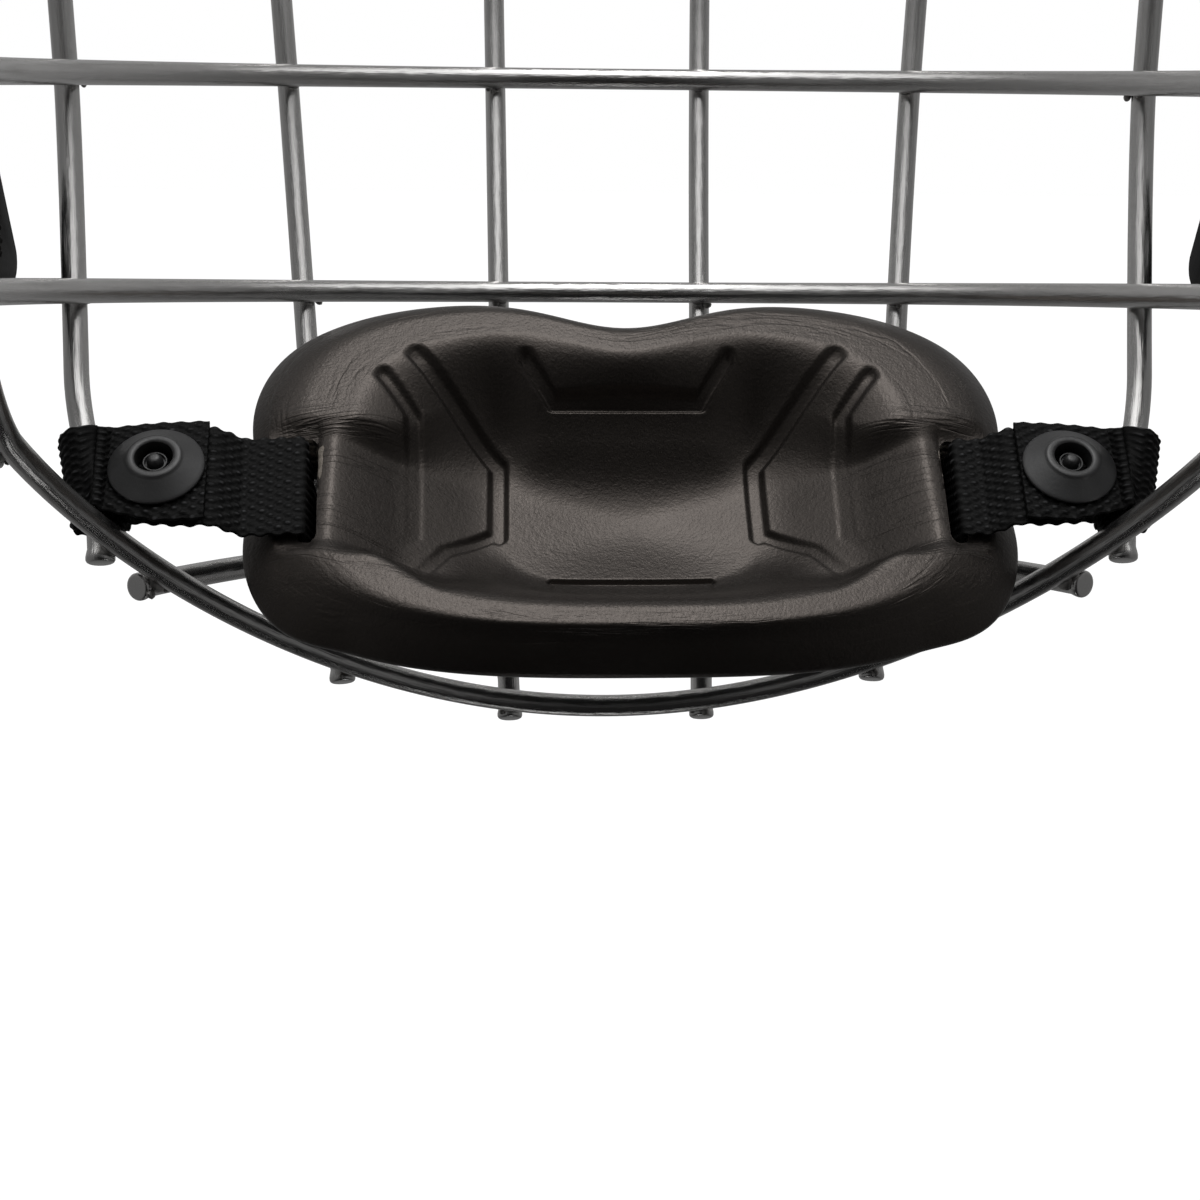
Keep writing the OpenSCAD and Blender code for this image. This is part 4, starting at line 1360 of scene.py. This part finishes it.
def side_strap_path():
    """The side strap in its own plane: depth behind the rim, out of the side, and widths."""
    out = HALF_WIDTH + 2 * R + 1.2 + WEB_T / 2 - RIM_X
    rows = [(1.2, 0.25 - LOOP_MID), *loop(-100, -10, 18)]
    rows += [(3.2, LOOP_MID + 0.6), (9.0, out - 1.4), (13.5, out), (SIDE_WEB_L, out)]
    return [(x, y, 0, HALF_WEB, HALF_WEB) for x, y in rows]


def side_place(side, p, q, turn, along):
    """A place on a side strap, which leans down behind its loop."""
    lean = ease((p - 4) / 12) * SIDE_SLOPE
    y = SIDE_Y + p * np.cos(lean) + along * np.sin(lean)
    z = LIP_Z - SIDE_DROP + (along * np.cos(lean) - p * np.sin(lean))
    return np.stack([side * (RIM_X + q), y, z], -1)


class CAGE_OT_side_straps(bpy.types.Operator):
    """Weave the side straps, each looped round the rim"""

    bl_idname = "cage.side_straps"
    bl_label = "Side Straps"

    def execute(self, context):
        nylon, path = webbing("side webbing"), side_strap_path()
        fineness = refined((0.25, 80))
        for side, name in SIDES:
            made = band_mesh("side_web_" + name, side_place, side, path, nylon, fineness)
            dress(made, "side_" + name, "side_strap_" + name)
        return {"FINISHED"}


# The photograph's camera: its lens, where it stands and how it is turned, in degrees
LENS, SENSOR, CAMERA_AT = 51.0, 36.0, (-0.01443, -0.33377, -0.11257)
PITCH, YAW, ROLL = (radians(a) for a in (16.5, 2.69, 0.571))
# The lamp overhead
LAMP_AT, LAMP_TO, LAMP_SIZE = (0.0, -0.12, 0.5), (0.0, -0.08, -0.15), (0.24, 0.34)
# A glowing dome round the set, the room's light and shade painted on it, by the height of its
# rings in degrees
DOME_R, DOME_MID, DOME_COLUMNS = 0.8, np.array([0, -0.08, -0.13]), 48
DOME_RINGS = (-88, -75, -60, -45, -30, -15, 0, 12, 24, 38, 52, 66, 80, 89.9)
WHITE, PALE, DIM = ((level, level, level, 1) for level in (1.0, 0.9, 0.55))


def eye_place():
    """Where the photograph's camera stands, and its three axes."""
    flat = cos(PITCH)
    ahead = np.array([sin(YAW) * flat, cos(YAW) * flat, -sin(PITCH)])
    right = np.array([cos(YAW), -sin(YAW), 0.0])
    up = np.cross(right, ahead)
    c, s = cos(ROLL), sin(ROLL)
    axes = (right * c + up * s, up * c - right * s, -ahead)
    turn = Matrix([[axes[j][i] for j in range(3)] for i in range(3)]).to_4x4()
    turn.translation = Vector(CAMERA_AT)
    return turn


def glow(tree, kind, colour, strength):
    return tree.add(kind, {"Color": colour, "Strength": strength})


def either(tree, factor, first, second):
    return tree.add("ShaderNodeMixShader", {0: factor, 1: first, 2: second})


def seen(tree):
    """1 for what the camera sees, itself or in metal or through glass."""
    ray = tree.add("ShaderNodeLightPath").outputs
    straight = Field(tree, ray["Is Camera Ray"]).sum("MAXIMUM", ray["Is Glossy Ray"])
    return straight.sum("MAXIMUM", ray["Is Transmission Ray"])


# The room by direction: limits of its soft changes, and its brightness there
PANEL_ASIDE, PANEL_RISE, PANEL_BACK, PANEL_LIGHT = (0.80, 1.45), (0.66, 0.685), (0.15, 0.60), 1.4
FRONT_ASIDE, FRONT_RISE = (0.2, 0.75), (-0.2, 0.9)
FRONT_DARK, FRONT_SIDES, FRONT_HIGH = 0.012, 0.13, 0.08
BACK_AHEAD, BACK_RISE, BACK_DARK, BACK_HIGH = (-0.1, 0.9), (-0.9, 0.5), 0.20, 0.16


def room(tree, way):
    """Brightness of the room by direction: a white panel above, dark in front and below."""
    part = tree.add("ShaderNodeSeparateXYZ", {"Vector": way}).outputs
    x, y, z = (Field(tree, part[axis]) for axis in "XYZ")
    rise = z.sum("MAXIMUM", 0.05)
    wide = 1.0 - (x / rise).sum("ABSOLUTE").between(*PANEL_ASIDE)
    panel = wide * z.between(*PANEL_RISE) * (1.0 - (y / rise).between(*PANEL_BACK))
    aside = x.sum("ABSOLUTE").between(*FRONT_ASIDE)
    front = FRONT_DARK + aside * FRONT_SIDES + z.between(*FRONT_RISE) * FRONT_HIGH
    behind = BACK_DARK + z.between(*BACK_RISE) * BACK_HIGH
    level = y.between(*BACK_AHEAD) * (behind - front) + front
    bright = panel * (PANEL_LIGHT - level) + level
    return tree.add("ShaderNodeCombineXYZ", {axis: bright for axis in "XYZ"})


class CAGE_OT_studio(bpy.types.Operator):
    """Set the pale floor, the soft light and the camera"""

    bl_idname = "cage.studio"
    bl_label = "Studio"

    def execute(self, context):
        studio = settings("cage_studio")
        scene = bpy.context.scene
        scene.view_settings.view_transform = "Standard"

        camera = bpy.data.objects.new("camera", bpy.data.cameras.new("camera"))
        camera.data.lens, camera.data.sensor_width = LENS, SENSOR
        camera.data.clip_start = 0.01
        camera.matrix_world = eye_place()
        scene.collection.objects.link(camera)
        scene.camera = camera

        corners = [(x, y, studio.floor_depth) for x, y in ((-6, -6), (6, -6), (6, 6), (-6, 6))]
        finish = self.floor_finish()
        mesh_object("floor", corners, [(0, 1, 2, 3)], finish, smooth=False)
        self.reflection_dome(studio.floor_depth)
        self.lamp(studio.top_light)

        scene.world = bpy.data.worlds.new("studio")
        tree = fresh_tree(scene.world)
        way = tree.add("ShaderNodeTexCoord").outputs["Generated"]
        pale = glow(tree, "ShaderNodeBackground", WHITE, 1.0)
        fill = glow(tree, "ShaderNodeBackground", room(tree, way), 0.6)
        both = either(tree, seen(tree), fill, pale)
        tree.add("ShaderNodeOutputWorld", {"Surface": both})
        return {"FINISHED"}

    def floor_finish(self):
        """White where it is seen, with the object's shadow, and dimmer as a source of light."""
        made = bpy.data.materials.new("pale floor")
        tree = fresh_tree(made)
        dim, matt = (tree.add("ShaderNodeBsdfDiffuse", {"Color": c}) for c in (DIM, PALE))
        shown = either(tree, 0.9, matt, glow(tree, "ShaderNodeEmission", WHITE, 1.12))
        both = either(tree, seen(tree), dim, shown)
        tree.add("ShaderNodeOutputMaterial", {"Surface": both})
        return made

    def reflection_dome(self, floor):
        """A glowing dome round and under the set, the room's light and shade painted on it by
        direction, that only the shiny surfaces reflect, open above.
        """
        deep = DOME_MID[2] - floor - 0.02
        rises = [radians(e) for e in DOME_RINGS]
        wall = [(DOME_R * cos(b), (DOME_R if b > 0 else deep) * sin(b)) for b in rises]
        points = [DOME_MID + p for p in lathe(wall, DOME_COLUMNS)[0]]
        # Painted reflections: the dome glows with the room's light and shade, a bright panel above
        # and dark in front and below.
        made = bpy.data.materials.new("painted_room_light")
        tree = fresh_tree(made)
        aside = tree.vector("SUBTRACT", tree.place(), tuple(DOME_MID))
        light = room(tree, tree.vector("NORMALIZE", aside))
        given = {"Surface": glow(tree, "ShaderNodeEmission", light, 1.0)}
        tree.add("ShaderNodeOutputMaterial", given)
        faces = grid_faces(len(DOME_RINGS), DOME_COLUMNS)
        bowl = mesh_object("reflection_dome", points, faces, made)
        bowl.visible_camera = bowl.visible_diffuse = bowl.visible_shadow = False
        bowl.visible_transmission = False

    def lamp(self, power):
        """A soft lamp overhead."""
        lamp = bpy.data.lights.new("overhead", "AREA")
        lamp.shape, lamp.energy = "RECTANGLE", power
        lamp.size, lamp.size_y = LAMP_SIZE
        made = bpy.data.objects.new("overhead", lamp)
        made.location = LAMP_AT
        ray = Vector(LAMP_TO) - Vector(LAMP_AT)
        made.rotation_euler = ray.to_track_quat("-Z", "Y").to_euler()
        bpy.context.scene.collection.objects.link(made)


class CAGE_PT_panel(bpy.types.Panel):
    """The cage's sizes, colours and builders"""

    bl_idname = "CAGE_PT_panel"
    bl_label = "Face Cage"
    bl_space_type = "VIEW_3D"
    bl_region_type = "UI"
    bl_category = "Face Cage"

    def draw(self, context):
        for group in GROUPS:
            held = getattr(context.scene, group)
            box = self.layout.box()
            for name in held.__annotations__:
                box.prop(held, name)
        for operator in STEPS:
            self.layout.operator(operator.bl_idname)


GROUPS = {
    "cage_wire": CageWireSettings,
    "cage_cup": ChinCupSettings,
    "cage_strap": StrapSettings,
    "cage_studio": StudioSettings,
}
STEPS = (
    CAGE_OT_wires,
    CAGE_OT_welds,
    CAGE_OT_chin_cup,
    CAGE_OT_straps,
    CAGE_OT_snaps,
    CAGE_OT_clips,
    CAGE_OT_side_straps,
    CAGE_OT_studio,
)


def register():
    for name, group in GROUPS.items():
        bpy.utils.register_class(group)
        setattr(bpy.types.Scene, name, bpy.props.PointerProperty(type=group))
    for made in (*STEPS, CAGE_PT_panel):
        bpy.utils.register_class(made)


def unregister():
    for made in reversed((*STEPS, CAGE_PT_panel)):
        bpy.utils.unregister_class(made)
    for name, group in reversed(GROUPS.items()):
        delattr(bpy.types.Scene, name)
        bpy.utils.unregister_class(group)


def main():
    """Build everything through the operators."""
    register()
    for step in STEPS:
        family, name = step.bl_idname.split(".")
        getattr(getattr(bpy.ops, family), name)()


if __name__ == "__main__":
    main()
